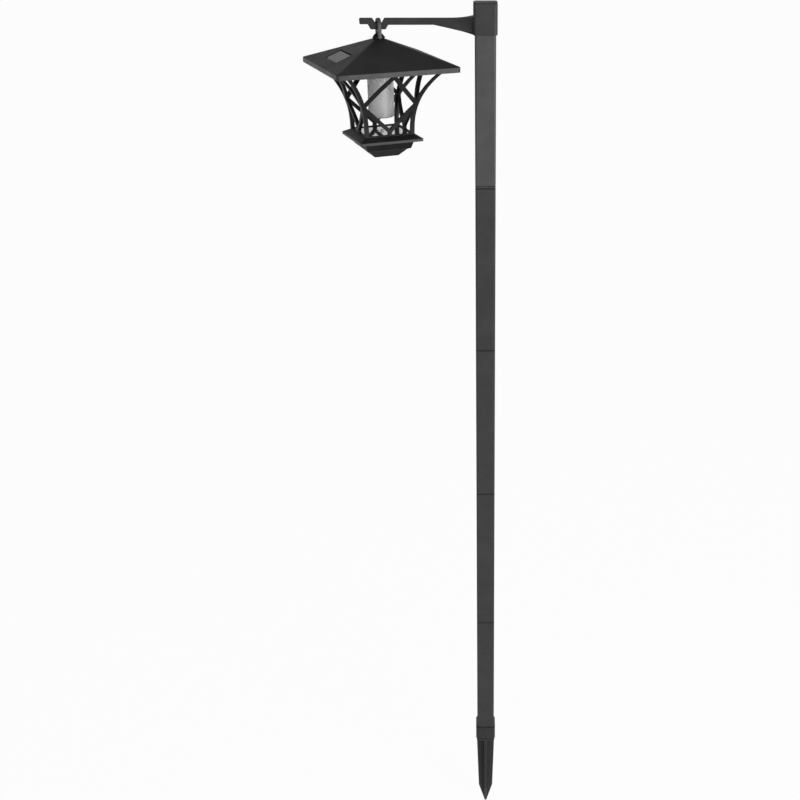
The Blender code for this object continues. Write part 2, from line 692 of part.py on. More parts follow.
def make_roof(lantern):
    """A hollow pyramid with a fascia, a sunk tray for the panel and bosses for the soffit's screws."""
    inside = ROOF_SIDE - 2 * ROOF_WALL
    inner_corner = max(ROOF_CORNER - ROOF_WALL, ROOF_EDGE)
    ceiling = APEX_SIDE / 2 + (APEX_THICK - ROOF_WALL / math.cos(ROOF_SLOPE)) / math.tan(ROOF_SLOPE)
    roof = part("roof_shell", square_loft([
        (APEX_SIDE, ROOF_CORNER, 0.0),
        (ROOF_SIDE - 2 * ROOF_EDGE, ROOF_CORNER, -ROOF_RISE + ROOF_EDGE * math.tan(ROOF_SLOPE)),
        (ROOF_SIDE, ROOF_CORNER, -ROOF_RISE - ROOF_EDGE),
        (ROOF_SIDE, ROOF_CORNER, EAVE_Z),
        (inside, inner_corner, EAVE_Z),
        (inside, inner_corner, roof_inside(inside / 2)),
        (2 * ceiling, inner_corner, -APEX_THICK),
    ]), LANTERN_PLASTIC, lantern)
    slope = panel_frame(lantern)
    depth = PANEL_SINK + PANEL_THICK + 2 * GAP + GASKET_THICK
    pocket_long = PANEL_LONG + 2 * GAP
    pocket_short = PANEL_SHORT + 2 * GAP
    tray_depth = depth + TRAY_FLOOR
    sunk = ROOF_WALL / 2
    tray = box((pocket_short + 2 * TRAY_WALL, pocket_long + 2 * TRAY_WALL, tray_depth - sunk),
               (0.0, 0.0, -(tray_depth + sunk) / 2))
    join(roof, cutter(tray, slope))
    boss_low = SOFFIT_TOP + GAP
    boss_high = roof_inside(ROOF_BOSS_OFFSET) + ROOF_WALL / 2
    for x, y in corners(ROOF_BOSS_OFFSET):
        join(roof, cutter(cylinder(BOSS_RADIUS, boss_low, boss_high, SCREW_STEPS), lantern, (x, y, 0.0)))
    pocket = plate([rounded_rectangle(pocket_short, pocket_long, PANEL_CORNER)], 2 * depth)
    cut(roof, cutter(pocket, slope))
    cut(roof, cutter(cylinder(HUB_STEM_RADIUS + GAP, -2 * APEX_THICK, APEX_THICK), lantern))
    for side in (1, -1):
        hole = cylinder(LEAD_RADIUS + GAP, -2 * tray_depth, 0.0, SCREW_STEPS)
        cut(roof, cutter(hole, slope, (0.0, side * LEAD_SPACING / 2, 0.0)))
    for x, y in corners(ROOF_BOSS_OFFSET):
        pilot = cylinder(HOLE_RADIUS, boss_low - GAP, boss_low + SCREW_BITE, SCREW_STEPS)
        cut(roof, cutter(pilot, lantern, (x, y, 0.0)))


def corners(offset):
    """The four places at an offset in x and y."""
    return [(offset, offset), (-offset, offset), (-offset, -offset), (offset, -offset)]


def panel_frame(lantern):
    """An empty on the -x slope at the panel's middle: x up the slope, z out of it."""
    drop = (PANEL_CENTRE - APEX_SIDE / 2) * math.tan(ROOF_SLOPE)
    return frame("panel_frame", (-PANEL_CENTRE, 0.0, -drop), 0.0, -ROOF_SLOPE, lantern)


def make_panel(lantern):
    """The cell board in its pocket, on a soft gasket."""
    slope = panel_frame(lantern)
    panel_under = -PANEL_SINK - PANEL_THICK
    middle = panel_under + PANEL_THICK / 2
    outline = rounded_rectangle(PANEL_SHORT, PANEL_LONG, PANEL_CORNER)
    part("solar_panel", plate([outline], PANEL_THICK), PANEL_GLASS, slope, (0.0, 0.0, middle))
    window = rounded_rectangle(PANEL_SHORT - 2 * GASKET_WIDTH, PANEL_LONG - 2 * GASKET_WIDTH, PANEL_CORNER)
    gasket_middle = panel_under - GAP - GASKET_THICK / 2
    part("panel_gasket", plate([outline, window], GASKET_THICK), RUBBER, slope, (0.0, 0.0, gasket_middle))


def make_leads(lantern):
    """Two wires from the panel, round the lamp unit and on to the control board."""
    slope = panel_frame(lantern)
    turn = Matrix.Translation(slope.location) @ Matrix.Rotation(-ROOF_SLOPE, 4, "Y")
    drop = PANEL_SINK + PANEL_THICK + GAP
    level = SOFFIT_TOP + BOARD_STAND
    clear = STEM_RADIUS + DIFFUSER_LIP + LEAD_SPACING
    board_edge = BOARD_CENTRE - BOARD_LENGTH / 2
    for number, side, finish in ((1, 1, WIRE_RED), (2, -1, WIRE_BLACK)):
        across = side * LEAD_SPACING / 2
        through = GASKET_THICK + TRAY_FLOOR + 2 * LEAD_RADIUS
        straight = [turn @ Matrix.Translation((0.0, across, -drop - depth))
                    for depth in (0.0, through, through + 3 * LEAD_RADIUS)]
        knots = [
            *(place.translation for place in straight),
            (-clear - LEAD_SPACING, side * clear * 0.6, level),
            (0.0, side * (clear + LEAD_SPACING), level),
            (board_edge - 2 * LEAD_SPACING, side * clear * 0.8, level),
            (board_edge - LEAD_SPACING, side * clear * 0.4, level),
            (board_edge - LEAD_SPACING / 2, across, BOARD_UNDER + BOARD_THICK / 2),
            (board_edge - GAP, across, BOARD_UNDER + BOARD_THICK / 2),
        ]
        part(f"panel_lead_{number}", tube(smooth_path(knots), LEAD_RADIUS, 1), finish, lantern)


def smooth_path(knots, steps=4):
    """Points on one smooth curve through knots."""
    ends = [knots[0], *knots, knots[-1]]
    points = []
    for before, start, end, after in zip(ends, ends[1:], ends[2:], ends[3:]):
        for step in range(steps):
            t = step / steps
            point = []
            for p0, p1, p2, p3 in zip(before, start, end, after):
                cubic = (2 * p1 + (p2 - p0) * t + (2 * p0 - 5 * p1 + 4 * p2 - p3) * t ** 2
                         + (3 * p1 - p0 - 3 * p2 + p3) * t ** 3) / 2
                point.append(cubic)
            points.append(tuple(point))
    points.append(tuple(knots[-1]))
    return points


def make_soffit(lantern):
    """The plate that closes the roof from below and carries the lamp unit, the board and the cage."""
    side = ROOF_SIDE - 2 * (ROOF_WALL + GAP)
    corner = max(ROOF_CORNER - ROOF_WALL, ROOF_EDGE)
    soffit = part("soffit_plate", square_loft([
        (side, corner, SOFFIT_UNDER),
        (side, corner, SOFFIT_TOP),
    ]), LANTERN_PLASTIC, lantern)
    stand_top = SOFFIT_TOP + BOARD_STAND
    root = SOFFIT_TOP - SOFFIT_THICK / 2
    for x, y in board_screw_places():
        join(soffit, cutter(cylinder(BOSS_RADIUS, root, stand_top, SCREW_STEPS), lantern, (x, y, 0.0)))
    for x, y in cage_screw_places():
        boss = cylinder(BOSS_RADIUS, root, SOFFIT_TOP + SCREW_BITE, SCREW_STEPS)
        join(soffit, cutter(boss, lantern, (x, y, 0.0)))
    below = SOFFIT_UNDER - SOFFIT_THICK
    cut(soffit, cutter(cylinder(DIFFUSER_RADIUS + GAP, below, SOFFIT_TOP + SOFFIT_THICK), lantern))
    for x, y in corners(ROOF_BOSS_OFFSET):
        cut(soffit, cutter(cylinder(HOLE_RADIUS, below, stand_top, SCREW_STEPS), lantern, (x, y, 0.0)))
    for x, y in cage_screw_places():
        bite = cylinder(HOLE_RADIUS, below, SOFFIT_TOP + SCREW_BITE - SCREW_RADIUS, SCREW_STEPS)
        cut(soffit, cutter(bite, lantern, (x, y, 0.0)))
    for x, y in board_screw_places():
        bite = cylinder(HOLE_RADIUS, stand_top + GAP - SCREW_BITE, stand_top + GAP, SCREW_STEPS)
        cut(soffit, cutter(bite, lantern, (x, y, 0.0)))
    slot = box((KNOB_WIDTH + 2 * GAP, KNOB_LENGTH + KNOB_TRAVEL + 2 * GAP, 4 * SOFFIT_THICK),
               (BOARD_CENTRE, 0.0, SOFFIT_UNDER))
    cut(soffit, cutter(slot, lantern))
    for number, (x, y) in enumerate(corners(ROOF_BOSS_OFFSET), 1):
        length = SOFFIT_THICK + 2 * GAP + SCREW_BITE - GAP
        part(f"roof_screw_{number}", screw_mesh(length), STEEL, lantern, (x, y, SOFFIT_UNDER - GAP))


# Cage

def cage_half(height):
    """Half the width over the posts at a height above the cage's bottom."""
    return CAGE_BASE + (CAGE_TOP - CAGE_BASE) * (height / CAGE_HEIGHT) ** CAGE_FLARE


def cage_screw_places():
    """One screw in each side of the cage's top flange, off the middle."""
    middle = CAGE_TOP - CAGE_THICK - CAGE_FLANGE / 2
    off = CAGE_SCREW_OFFSET
    return [(off, -middle), (middle, off), (-off, middle), (-middle, -off)]


def post_edge(height):
    """Where a post's inner side stands in front view."""
    return cage_half(height) - CAGE_POST


def meeting_height(foot, slope, low, high):
    """Height between low and high at which a line x = foot + slope * height meets the post's inner side."""
    for _ in range(50):
        middle = (low + high) / 2
        before = foot + slope * low - post_edge(low)
        if before * (foot + slope * middle - post_edge(middle)) > 0:
            low = middle
        else:
            high = middle
    return (low + high) / 2


def fillet(points, radius):
    """Round each corner of an outline that turns by more than 25 degrees."""
    rounded = []
    count = len(points)
    for index, (x, y) in enumerate(points):
        back = (points[index - 1][0] - x, points[index - 1][1] - y)
        ahead = (points[(index + 1) % count][0] - x, points[(index + 1) % count][1] - y)
        size_back = math.hypot(*back)
        size_ahead = math.hypot(*ahead)
        inside = math.acos((back[0] * ahead[0] + back[1] * ahead[1]) / (size_back * size_ahead))
        if math.pi - inside < math.radians(25):
            rounded.append((x, y))
            continue
        reach = min(radius / math.tan(inside / 2), 0.45 * size_back, 0.45 * size_ahead)
        start = (x + back[0] / size_back * reach, y + back[1] / size_back * reach)
        end = (x + ahead[0] / size_ahead * reach, y + ahead[1] / size_ahead * reach)
        for step in range(FILLET_STEPS + 1):
            t = step / FILLET_STEPS
            weights = ((1 - t) ** 2, 2 * t * (1 - t), t ** 2)
            rounded.append(tuple(weights[0] * a + weights[1] * b + weights[2] * c
                                 for a, b, c in zip(start, (x, y), end)))
    return rounded


def cage_windows():
    """The five openings of one side in front view: the diamond and the corners round it."""
    peak = CAGE_HEIGHT - CAGE_PEAK
    side = cage_half(CAGE_MIDDLE) - CAGE_POST / 2
    upper = (0.0 - side) / (peak - CAGE_MIDDLE)
    lower = side / (CAGE_MIDDLE - CAGE_FOOT)
    half_upper = CAGE_BAR / 2 * math.hypot(1.0, upper)
    half_lower = CAGE_BAR / 2 * math.hypot(1.0, lower)
    upper_foot = -upper * peak
    lower_foot = -lower * CAGE_FOOT
    inner_peak = (half_upper - upper_foot) / upper
    inner_foot = (half_lower - lower_foot) / lower
    meet = (lower_foot - half_lower - upper_foot + half_upper) / (upper - lower)
    diamond = [(0.0, inner_peak), (lower_foot - half_lower + lower * meet, meet), (0.0, inner_foot),
               (-(lower_foot - half_lower + lower * meet), meet)]
    top = CAGE_HEIGHT - CAGE_FRAME
    crotch = meeting_height(upper_foot + half_upper, upper, CAGE_MIDDLE, top)
    crown = top - CAGE_CROWN
    corner_above = [(upper_foot + half_upper + upper * crown, crown)]
    corner_above += [(post_edge(level), level) for level in spread(top, crotch)]
    dip = meeting_height(lower_foot + half_lower, lower, CAGE_RING, CAGE_MIDDLE)
    stub = CAGE_BAR / 2
    bend = (stub - lower_foot - half_lower) / lower
    corner_below = [(stub, bend), (stub, CAGE_RING)]
    corner_below += [(post_edge(level), level) for level in spread(CAGE_RING, dip)]
    windows = [fillet(diamond, CAGE_FILLET)]
    for outline in (corner_above, corner_below):
        rounded = fillet(outline, CAGE_FILLET)
        windows.append(rounded)
        windows.append([(-x, y) for x, y in rounded])
    return windows


def spread(start, end):
    """Even steps from one height to another, both ends included."""
    return [start + (end - start) * step / CURVE_STEPS for step in range(CURVE_STEPS + 1)]


def cage_levels():
    """Heights at which a side is divided so that it can curve, closer together where it curves more."""
    return [CAGE_HEIGHT * (step / CAGE_LEVELS) ** 0.7 for step in range(CAGE_LEVELS + 1)]


def cage_side():
    """One flared side with mitred edges, left open where it meets its neighbours."""
    right = [(cage_half(level), level) for level in cage_levels()]
    left = [(-x, level) for x, level in reversed(right)]
    bm = bmesh.new()
    bm.from_mesh(upright(plate([right + left, *cage_windows()], CAGE_THICK)))
    for level in cage_levels()[1:-1]:
        bmesh.ops.bisect_plane(bm, geom=[*bm.verts, *bm.edges, *bm.faces], dist=0.00001,
                               plane_co=(0.0, 0.0, level), plane_no=(0.0, 0.0, 1.0))
    mitre = set()
    for vert in bm.verts:
        half = cage_half(max(vert.co.z, 0.0))
        inner = vert.co.y > 0
        on_edge = abs(abs(vert.co.x) - half) < 0.00002
        if inner:
            half -= CAGE_THICK
        vert.co.y = -half
        if on_edge:
            vert.co.x = math.copysign(half, vert.co.x)
            mitre.add(vert)
    ends = [face for face in bm.faces
            if mitre.issuperset(face.verts) and abs(face.calc_center_median().x) > CAGE_BASE / 2]
    bmesh.ops.delete(bm, geom=ends, context="FACES")
    return bm


def make_cage(lantern):
    """Four flared lattice sides in one moulding, with a flange on top and pegs underneath."""
    whole = bmesh.new()
    for quarter in range(4):
        side = cage_side()
        side.transform(Matrix.Rotation(math.radians(90 * quarter), 4, "Z"))
        mesh = bpy.data.meshes.new("side")
        side.to_mesh(mesh)
        side.free()
        whole.from_mesh(mesh)
    bmesh.ops.remove_doubles(whole, verts=whole.verts, dist=0.00002)
    cage = part("cage", finish_mesh("cage", whole), CAGE_PLASTIC, lantern, (0.0, 0.0, CAGE_BOTTOM_Z))
    flange_out = 2 * (cage_half(CAGE_HEIGHT - CAGE_FRAME) - CAGE_THICK / 2)
    flange_in = 2 * (CAGE_TOP - CAGE_THICK - CAGE_FLANGE)
    flange = plate([rounded_rectangle(flange_out, flange_out, ROOF_EDGE),
                    rounded_rectangle(flange_in, flange_in, ROOF_CORNER)], CAGE_FLANGE_THICK)
    join(cage, cutter(flange, lantern, (0.0, 0.0, CAGE_TOP_Z - CAGE_FRAME / 2)))
    for x, y in corners(CAGE_BASE - CAGE_THICK / 2):
        peg = cylinder(PEG_RADIUS, CAGE_BOTTOM_Z - PEG_LENGTH, CAGE_BOTTOM_Z + CAGE_RING / 2, SCREW_STEPS)
        join(cage, cutter(peg, lantern, (x, y, 0.0)))
    for x, y in cage_screw_places():
        hole = cylinder(HOLE_RADIUS, CAGE_TOP_Z - 2 * CAGE_FRAME, CAGE_TOP_Z + CAGE_FRAME, SCREW_STEPS)
        cut(cage, cutter(hole, lantern, (x, y, 0.0)))
    under = CAGE_TOP_Z - CAGE_FRAME / 2 - CAGE_FLANGE_THICK / 2 - GAP
    length = SOFFIT_TOP + SCREW_BITE - SCREW_RADIUS - GAP - under
    for number, (x, y) in enumerate(cage_screw_places(), 1):
        part(f"cage_screw_{number}", screw_mesh(length), STEEL, lantern, (x, y, under))


# Base

def make_base(lantern):
    """The sloped square plate under the cage, open below for the foot's spigot."""
    slope_in = 2 * CAGE_BASE + 2 * GAP
    base = part("base_plate", square_loft([
        (BASE_SIDE, BASE_CORNER, BASE_BOTTOM_Z),
        (BASE_SIDE, BASE_CORNER, BASE_BOTTOM_Z + BASE_EDGE),
        (slope_in, BASE_CORNER, BASE_TOP_Z),
    ]), LANTERN_PLASTIC, lantern)
    spigot = FOOT_LEDGE + 2 * GAP
    cut(base, cutter(square_loft([
        (spigot, BASE_CORNER, BASE_BOTTOM_Z - BASE_EDGE),
        (spigot, BASE_CORNER, BASE_RECESS_Z),
    ]), lantern))
    for x, y in corners(CAGE_BASE - CAGE_THICK / 2):
        hole = cylinder(PEG_RADIUS + GAP, CAGE_BOTTOM_Z - PEG_LENGTH - GAP, CAGE_BOTTOM_Z, SCREW_STEPS)
        cut(base, cutter(hole, lantern, (x, y, 0.0)))
    cut(base, cutter(cylinder(HOLE_RADIUS, BASE_BOTTOM_Z, BASE_TOP_Z + GAP, SCREW_STEPS), lantern))


def make_reflector(lantern):
    """A polished sheet on the floor of the cage."""
    side = 2 * (CAGE_BASE - CAGE_THICK - GAP)
    hole = [(HOLE_RADIUS * math.cos(angle), HOLE_RADIUS * math.sin(angle))
            for angle in (2 * math.pi * step / SCREW_STEPS for step in range(SCREW_STEPS))]
    middle = BASE_TOP_Z + GAP + REFLECTOR_THICK / 2
    sheet = plate([rounded_rectangle(side, side, BASE_CORNER), hole], REFLECTOR_THICK)
    part("floor_reflector", sheet, SILVER_SHEET, lantern, (0.0, 0.0, middle))


def make_foot(lantern):
    """A stepped inverted pyramid, hollow above its sole, screwed up to the base through a boss."""
    spigot_top = FOOT_TOP_Z + FOOT_SPIGOT
    step_z = FOOT_TOP_Z - FOOT_UPPER
    ledge_z = step_z - FOOT_TREAD
    corner = BASE_CORNER
    foot = part("stepped_foot", square_loft([
        (FOOT_SOLE, corner, FOOT_SOLE_Z),
        (FOOT_LEDGE, corner, ledge_z),
        (FOOT_STEP, corner, step_z),
        (FOOT_TOP, corner, FOOT_TOP_Z),
        (FOOT_LEDGE, corner, FOOT_TOP_Z),
        (FOOT_LEDGE, corner, spigot_top),
        (FOOT_LEDGE - 2 * FOOT_WALL, corner, spigot_top),
        (FOOT_LEDGE - 2 * FOOT_WALL, corner, ledge_z + FOOT_WALL),
        (FOOT_SOLE - FOOT_WALL, corner, FOOT_SOLE_Z + FOOT_WALL),
    ]), LANTERN_PLASTIC, lantern)
    boss_top = BASE_RECESS_Z - GAP
    join(foot, cutter(cylinder(FOOT_BOSS / 2, FOOT_SOLE_Z + FOOT_WALL / 2, boss_top, SCREW_STEPS), lantern))
    head_under = BASE_TOP_Z + GAP + REFLECTOR_THICK + GAP
    depth = head_under - boss_top + SCREW_BITE
    cut(foot, cutter(cylinder(HOLE_RADIUS, head_under - depth - GAP, boss_top + GAP, SCREW_STEPS), lantern))
    screw = part("foot_screw", screw_mesh(depth), STEEL, lantern, (0.0, 0.0, head_under))
    screw.rotation_euler = (math.radians(180), 0.0, 0.0)


# Lamp unit

def make_diffuser(lantern):
    """A frosted cup that hangs through the soffit by its lip."""
    lip = SOFFIT_TOP + GAP
    edge = DIFFUSER_EDGE
    inner = DIFFUSER_RADIUS - DIFFUSER_WALL
    flat = DIFFUSER_RADIUS - edge
    rounding = [(flat + edge * math.cos(angle), edge - edge * math.sin(angle) - DIFFUSER_BOTTOM)
                for angle in quarter_turn()]
    floor = DIFFUSER_WALL - DIFFUSER_BOTTOM
    part("diffuser", turned([
        (0.0, floor),
        (inner - DIFFUSER_WALL, floor),
        (inner, floor + DIFFUSER_WALL),
        (inner, lip + FLANGE_THICK),
        (DIFFUSER_RADIUS + DIFFUSER_LIP, lip + FLANGE_THICK),
        (DIFFUSER_RADIUS + DIFFUSER_LIP, lip),
        (DIFFUSER_RADIUS, lip),
        *rounding,
        (0.0, -DIFFUSER_BOTTOM),
    ]), CLEAR_PLASTIC, lantern)


def make_stem(lantern):
    """The battery tube inside the diffuser, with its cap, contacts, cell and lamp."""
    bore = STEM_RADIUS - STEM_WALL
    guide = CELL_RADIUS + CELL_FIT
    floor = STEM_BOTTOM + STEM_FLOOR
    part("lamp_stem", turned([
        (DIFFUSER_RADIUS + DIFFUSER_LIP, STEM_TOP),
        (DIFFUSER_RADIUS + DIFFUSER_LIP, STEM_TOP - FLANGE_THICK),
        (STEM_RADIUS, STEM_TOP - FLANGE_THICK),
        (STEM_RADIUS, STEM_BOTTOM),
        (LED_RADIUS + GAP, STEM_BOTTOM),
        (LED_RADIUS + GAP, floor),
        (guide, floor),
        (guide, floor + STEM_GUIDE),
        (bore, floor + STEM_GUIDE),
        (bore, STEM_TOP),
    ], PLAIN_STEPS, True), WHITE_PLASTIC, lantern)
    cap_under = STEM_TOP + GAP
    skirt = bore - GAP
    cup = cap_under - STEM_GUIDE
    contact_top = cap_under - GAP
    part("stem_cap", turned([
        (0.0, cap_under + CAP_THICK),
        (DIFFUSER_RADIUS, cap_under + CAP_THICK),
        (DIFFUSER_RADIUS, cap_under),
        (skirt, cap_under),
        (skirt, cup),
        (guide, cup),
        (guide, cap_under),
        (0.0, cap_under),
    ], PLAIN_STEPS), WHITE_PLASTIC, lantern)
    contact = cylinder(guide - GAP, contact_top - CONTACT_THICK, contact_top, PLAIN_STEPS)
    part("contact_plate", contact, STEEL, lantern)
    cell_top = contact_top - CONTACT_THICK - GAP - CELL_NUB
    cell_bottom = cell_top - CELL_LENGTH
    part("battery_cell", turned([
        (0.0, cell_top + CELL_NUB),
        (CELL_NUB_RADIUS, cell_top + CELL_NUB),
        (CELL_NUB_RADIUS, cell_top),
        (CELL_RADIUS - GAP, cell_top),
        (CELL_RADIUS, cell_top - GAP),
        (CELL_RADIUS, cell_bottom + GAP),
        (CELL_RADIUS - GAP, cell_bottom),
        (0.0, cell_bottom),
    ], PLAIN_STEPS), CELL_SLEEVE, lantern)
    led_top = make_led(lantern, floor)
    make_spring(lantern, led_top, cell_bottom)


def make_led(lantern, floor):
    """A round lamp that looks down through the stem's floor. Returns the height of its back."""
    seat = floor + GAP
    dome = [(LED_RADIUS * math.cos(angle), seat - LED_BODY - LED_RADIUS * math.sin(angle))
            for angle in quarter_turn()[:-1]]
    back = seat + LED_FLANGE
    part("led", turned([
        (0.0, back),
        (LED_RADIUS + 2 * LED_FLANGE, back),
        (LED_RADIUS + 2 * LED_FLANGE, seat),
        (LED_RADIUS, seat),
        *dome,
        (0.0, seat - LED_BODY - LED_RADIUS),
    ], PLAIN_STEPS), LED_LENS, lantern)
    return back


def make_spring(lantern, low, high):
    """The cone-shaped contact spring under the cell, one unbroken wire."""
    start = low + GAP + SPRING_WIRE
    rise = high - GAP - SPRING_WIRE - start
    per_turn = 10
    count = SPRING_TURNS * per_turn
    points = []
    for step in range(count + 1):
        along = step / count
        angle = 2 * math.pi * SPRING_TURNS * along
        radius = SPRING_RADIUS + (SPRING_TOP_RADIUS - SPRING_RADIUS) * along
        points.append((radius * math.cos(angle), radius * math.sin(angle), start + rise * along))
    part("battery_spring", tube(points, SPRING_WIRE, 1), STEEL, lantern)


# Control board and switch

def board_screw_places():
    """Two opposite corners of the board."""
    x = BOARD_LENGTH / 2 - BOARD_SCREW_INSET
    y = BOARD_WIDTH / 2 - BOARD_SCREW_INSET
    return [(BOARD_CENTRE + x, y), (BOARD_CENTRE - x, -y)]


def make_board(lantern):
    """The charge board on its stands, with its screws and the switch's case underneath."""
    middle = BOARD_UNDER + BOARD_THICK / 2
    outline = rounded_rectangle(BOARD_LENGTH, BOARD_WIDTH, PANEL_CORNER)
    place = (BOARD_CENTRE, 0.0, middle)
    board = part("control_board", plate([outline], BOARD_THICK), BOARD_GREEN, lantern, place)
    head = BOARD_UNDER + BOARD_THICK + GAP
    length = BOARD_THICK + GAP + SCREW_BITE - SCREW_RADIUS
    for number, (x, y) in enumerate(board_screw_places(), 1):
        hole = cylinder(HOLE_RADIUS, BOARD_UNDER - BOARD_THICK, head + BOARD_THICK, SCREW_STEPS)
        cut(board, cutter(hole, lantern, (x, y, 0.0)))
        screw = part(f"board_screw_{number}", screw_mesh(length), STEEL, lantern, (x, y, head))
        screw.rotation_euler = (math.radians(180), 0.0, 0.0)
    case = box((SWITCH_WIDTH, SWITCH_LENGTH, SWITCH_HEIGHT))
    case_middle = BOARD_UNDER - GAP - SWITCH_HEIGHT / 2
    part("switch_case", case, STEEL, lantern, (BOARD_CENTRE, 0.0, case_middle))


def make_switch_knob(lantern):
    """The sliding knob, whose flange stays above the soffit's slot. It rests at the slot's -y end."""
    top = BOARD_UNDER - GAP - SWITCH_HEIGHT - GAP
    ledge = SOFFIT_TOP + GAP
    tip = SOFFIT_UNDER - KNOB_PROUD
    outline = [
        (KNOB_WIDTH / 2, tip),
        (KNOB_WIDTH / 2, ledge),
        (KNOB_FLANGE / 2, ledge),
        (KNOB_FLANGE / 2, ledge + KNOB_FLANGE_THICK),
        (KNOB_WIDTH / 2, ledge + KNOB_FLANGE_THICK),
        (KNOB_WIDTH / 2, top),
    ]
    outline += [(-x, z) for x, z in reversed(outline)]
    part("switch_knob", upright(plate([outline], KNOB_LENGTH)), WHITE_PLASTIC, lantern,
         (BOARD_CENTRE, -KNOB_TRAVEL / 2, 0.0))


def main():
    make_spike()
    make_tubes()
    make_couplers()
    make_bracket()
    make_bail()
    make_hub()
    lantern = frame("lantern_frame", (-ARM_REACH, 0.0, ROOF_Z), LANTERN_YAW)
    make_roof(lantern)
    make_panel(lantern)
    make_soffit(lantern)
    make_diffuser(lantern)
    make_stem(lantern)
    make_board(lantern)
    make_switch_knob(lantern)
    make_leads(lantern)
    make_cage(lantern)
    make_base(lantern)
    make_reflector(lantern)
    make_foot(lantern)


main()
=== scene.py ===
"""The looks of the solar garden light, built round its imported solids.

Lengths are in metres. The lantern's pieces are drawn about the lantern's own axis, with z = 0 at the
roof's flat top. The bail and hub are drawn about the same axis, with heights in the part's frame.
"""

import json
import math

import bmesh
import bpy
from mathutils import Matrix, Vector

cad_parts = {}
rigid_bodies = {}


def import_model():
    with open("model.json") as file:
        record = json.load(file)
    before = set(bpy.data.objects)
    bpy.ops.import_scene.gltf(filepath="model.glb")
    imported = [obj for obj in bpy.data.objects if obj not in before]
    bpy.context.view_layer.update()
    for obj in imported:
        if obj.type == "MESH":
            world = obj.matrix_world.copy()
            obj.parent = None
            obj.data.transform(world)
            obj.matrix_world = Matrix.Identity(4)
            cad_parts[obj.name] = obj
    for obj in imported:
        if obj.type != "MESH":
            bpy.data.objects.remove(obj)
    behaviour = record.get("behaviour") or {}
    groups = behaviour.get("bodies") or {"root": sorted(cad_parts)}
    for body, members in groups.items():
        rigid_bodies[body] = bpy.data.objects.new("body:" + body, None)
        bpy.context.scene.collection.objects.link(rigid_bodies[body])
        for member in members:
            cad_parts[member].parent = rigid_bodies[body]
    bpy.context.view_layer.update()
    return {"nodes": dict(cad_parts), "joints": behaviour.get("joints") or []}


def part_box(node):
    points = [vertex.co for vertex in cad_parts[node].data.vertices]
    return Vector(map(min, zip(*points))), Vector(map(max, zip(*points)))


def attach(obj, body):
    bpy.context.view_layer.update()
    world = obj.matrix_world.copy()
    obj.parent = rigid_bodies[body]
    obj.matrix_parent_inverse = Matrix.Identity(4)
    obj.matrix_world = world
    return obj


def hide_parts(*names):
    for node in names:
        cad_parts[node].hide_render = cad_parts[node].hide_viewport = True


for leftover in list(bpy.data.objects):
    bpy.data.objects.remove(leftover, do_unlink=True)

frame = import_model()
NODES = frame["nodes"]
JOINTS = {joint["name"]: joint for joint in frame["joints"]}

MM = 0.001
GAP = 0.3 * MM
FINE_ROUND = 0.3 * MM

# Post
POLE_SIDE = 31.0 * MM
POLE_CORNER = 3.0 * MM
POLE_WALL = 1.6 * MM
TUBE_COUNT = 5
TUBE_END = 0.7 * MM
RING_LIFT = 1.9 * MM
RING_WIDTH = 1.1 * MM
RING_DEPTH = 0.9 * MM
SEAM_SINK = 0.25 * MM
SEAM_ROUND = 0.2 * MM
COUPLER_PLUG = 30.0 * MM
COUPLER_WALL = 2.0 * MM

# Ground spike
SOCKET_FIT = 0.4 * MM
SPIKE_COLLAR_WALL = 1.9 * MM
SPIKE_CHAMFER = 1.2 * MM
SPIKE_GROOVE = 2.2 * MM
SPIKE_GROOVE_DEPTH = 3.0 * MM
SPIKE_NECK = 6.0 * MM
SPIKE_SPAN = 33.0 * MM
SPIKE_SPAN_LOW = 26.0 * MM
SPIKE_POINT = 40.0 * MM
SPIKE_TIP = 3.0 * MM
SPIKE_ROUND = 0.5 * MM
BLADE_THICK = 4.5 * MM
BLADE_EDGE = 0.8 * MM
BLADE_CORNER = 1.2 * MM
BLADE_BEND = 10.0

# Arm bracket
COLLAR_WALL = 1.6 * MM
COLLAR_ROOF = 3.0 * MM
COLLAR_EDGE = 2.0 * MM
COLLAR_RIM = 0.5 * MM
ARM_TIP = 27.0 * MM
ARM_RAKE = 0.6 * MM
ARM_HEIGHT = 9.0 * MM
ARM_TIP_HEIGHT = 8.1 * MM
ARM_THICK = 10.0 * MM
ARM_SPREAD = 8.5 * MM
ARM_SPREAD_LENGTH = 16.0 * MM
ARM_SPREAD_POWER = 1.3
ARM_DROP = 22.2 * MM
ARM_BEVEL = 0.9 * MM
ARM_CORNER = 1.3 * MM
ARM_FLARE = 2.6 * MM
ARM_FLARE_LENGTH = 34.0 * MM
GUSSET_LENGTH = 57.0 * MM
GUSSET_LIFT = 0.4 * MM
GUSSET_POWER = 1.05
NOTCH_MOUTH = 17.4 * MM
NOTCH_FLOOR = 9.6 * MM
NOTCH_DEPTH = 6.4 * MM
SADDLE_DEPTH = 15.2 * MM
SADDLE_BASE = 20.0 * MM
SADDLE_SHOULDER = 31.0 * MM

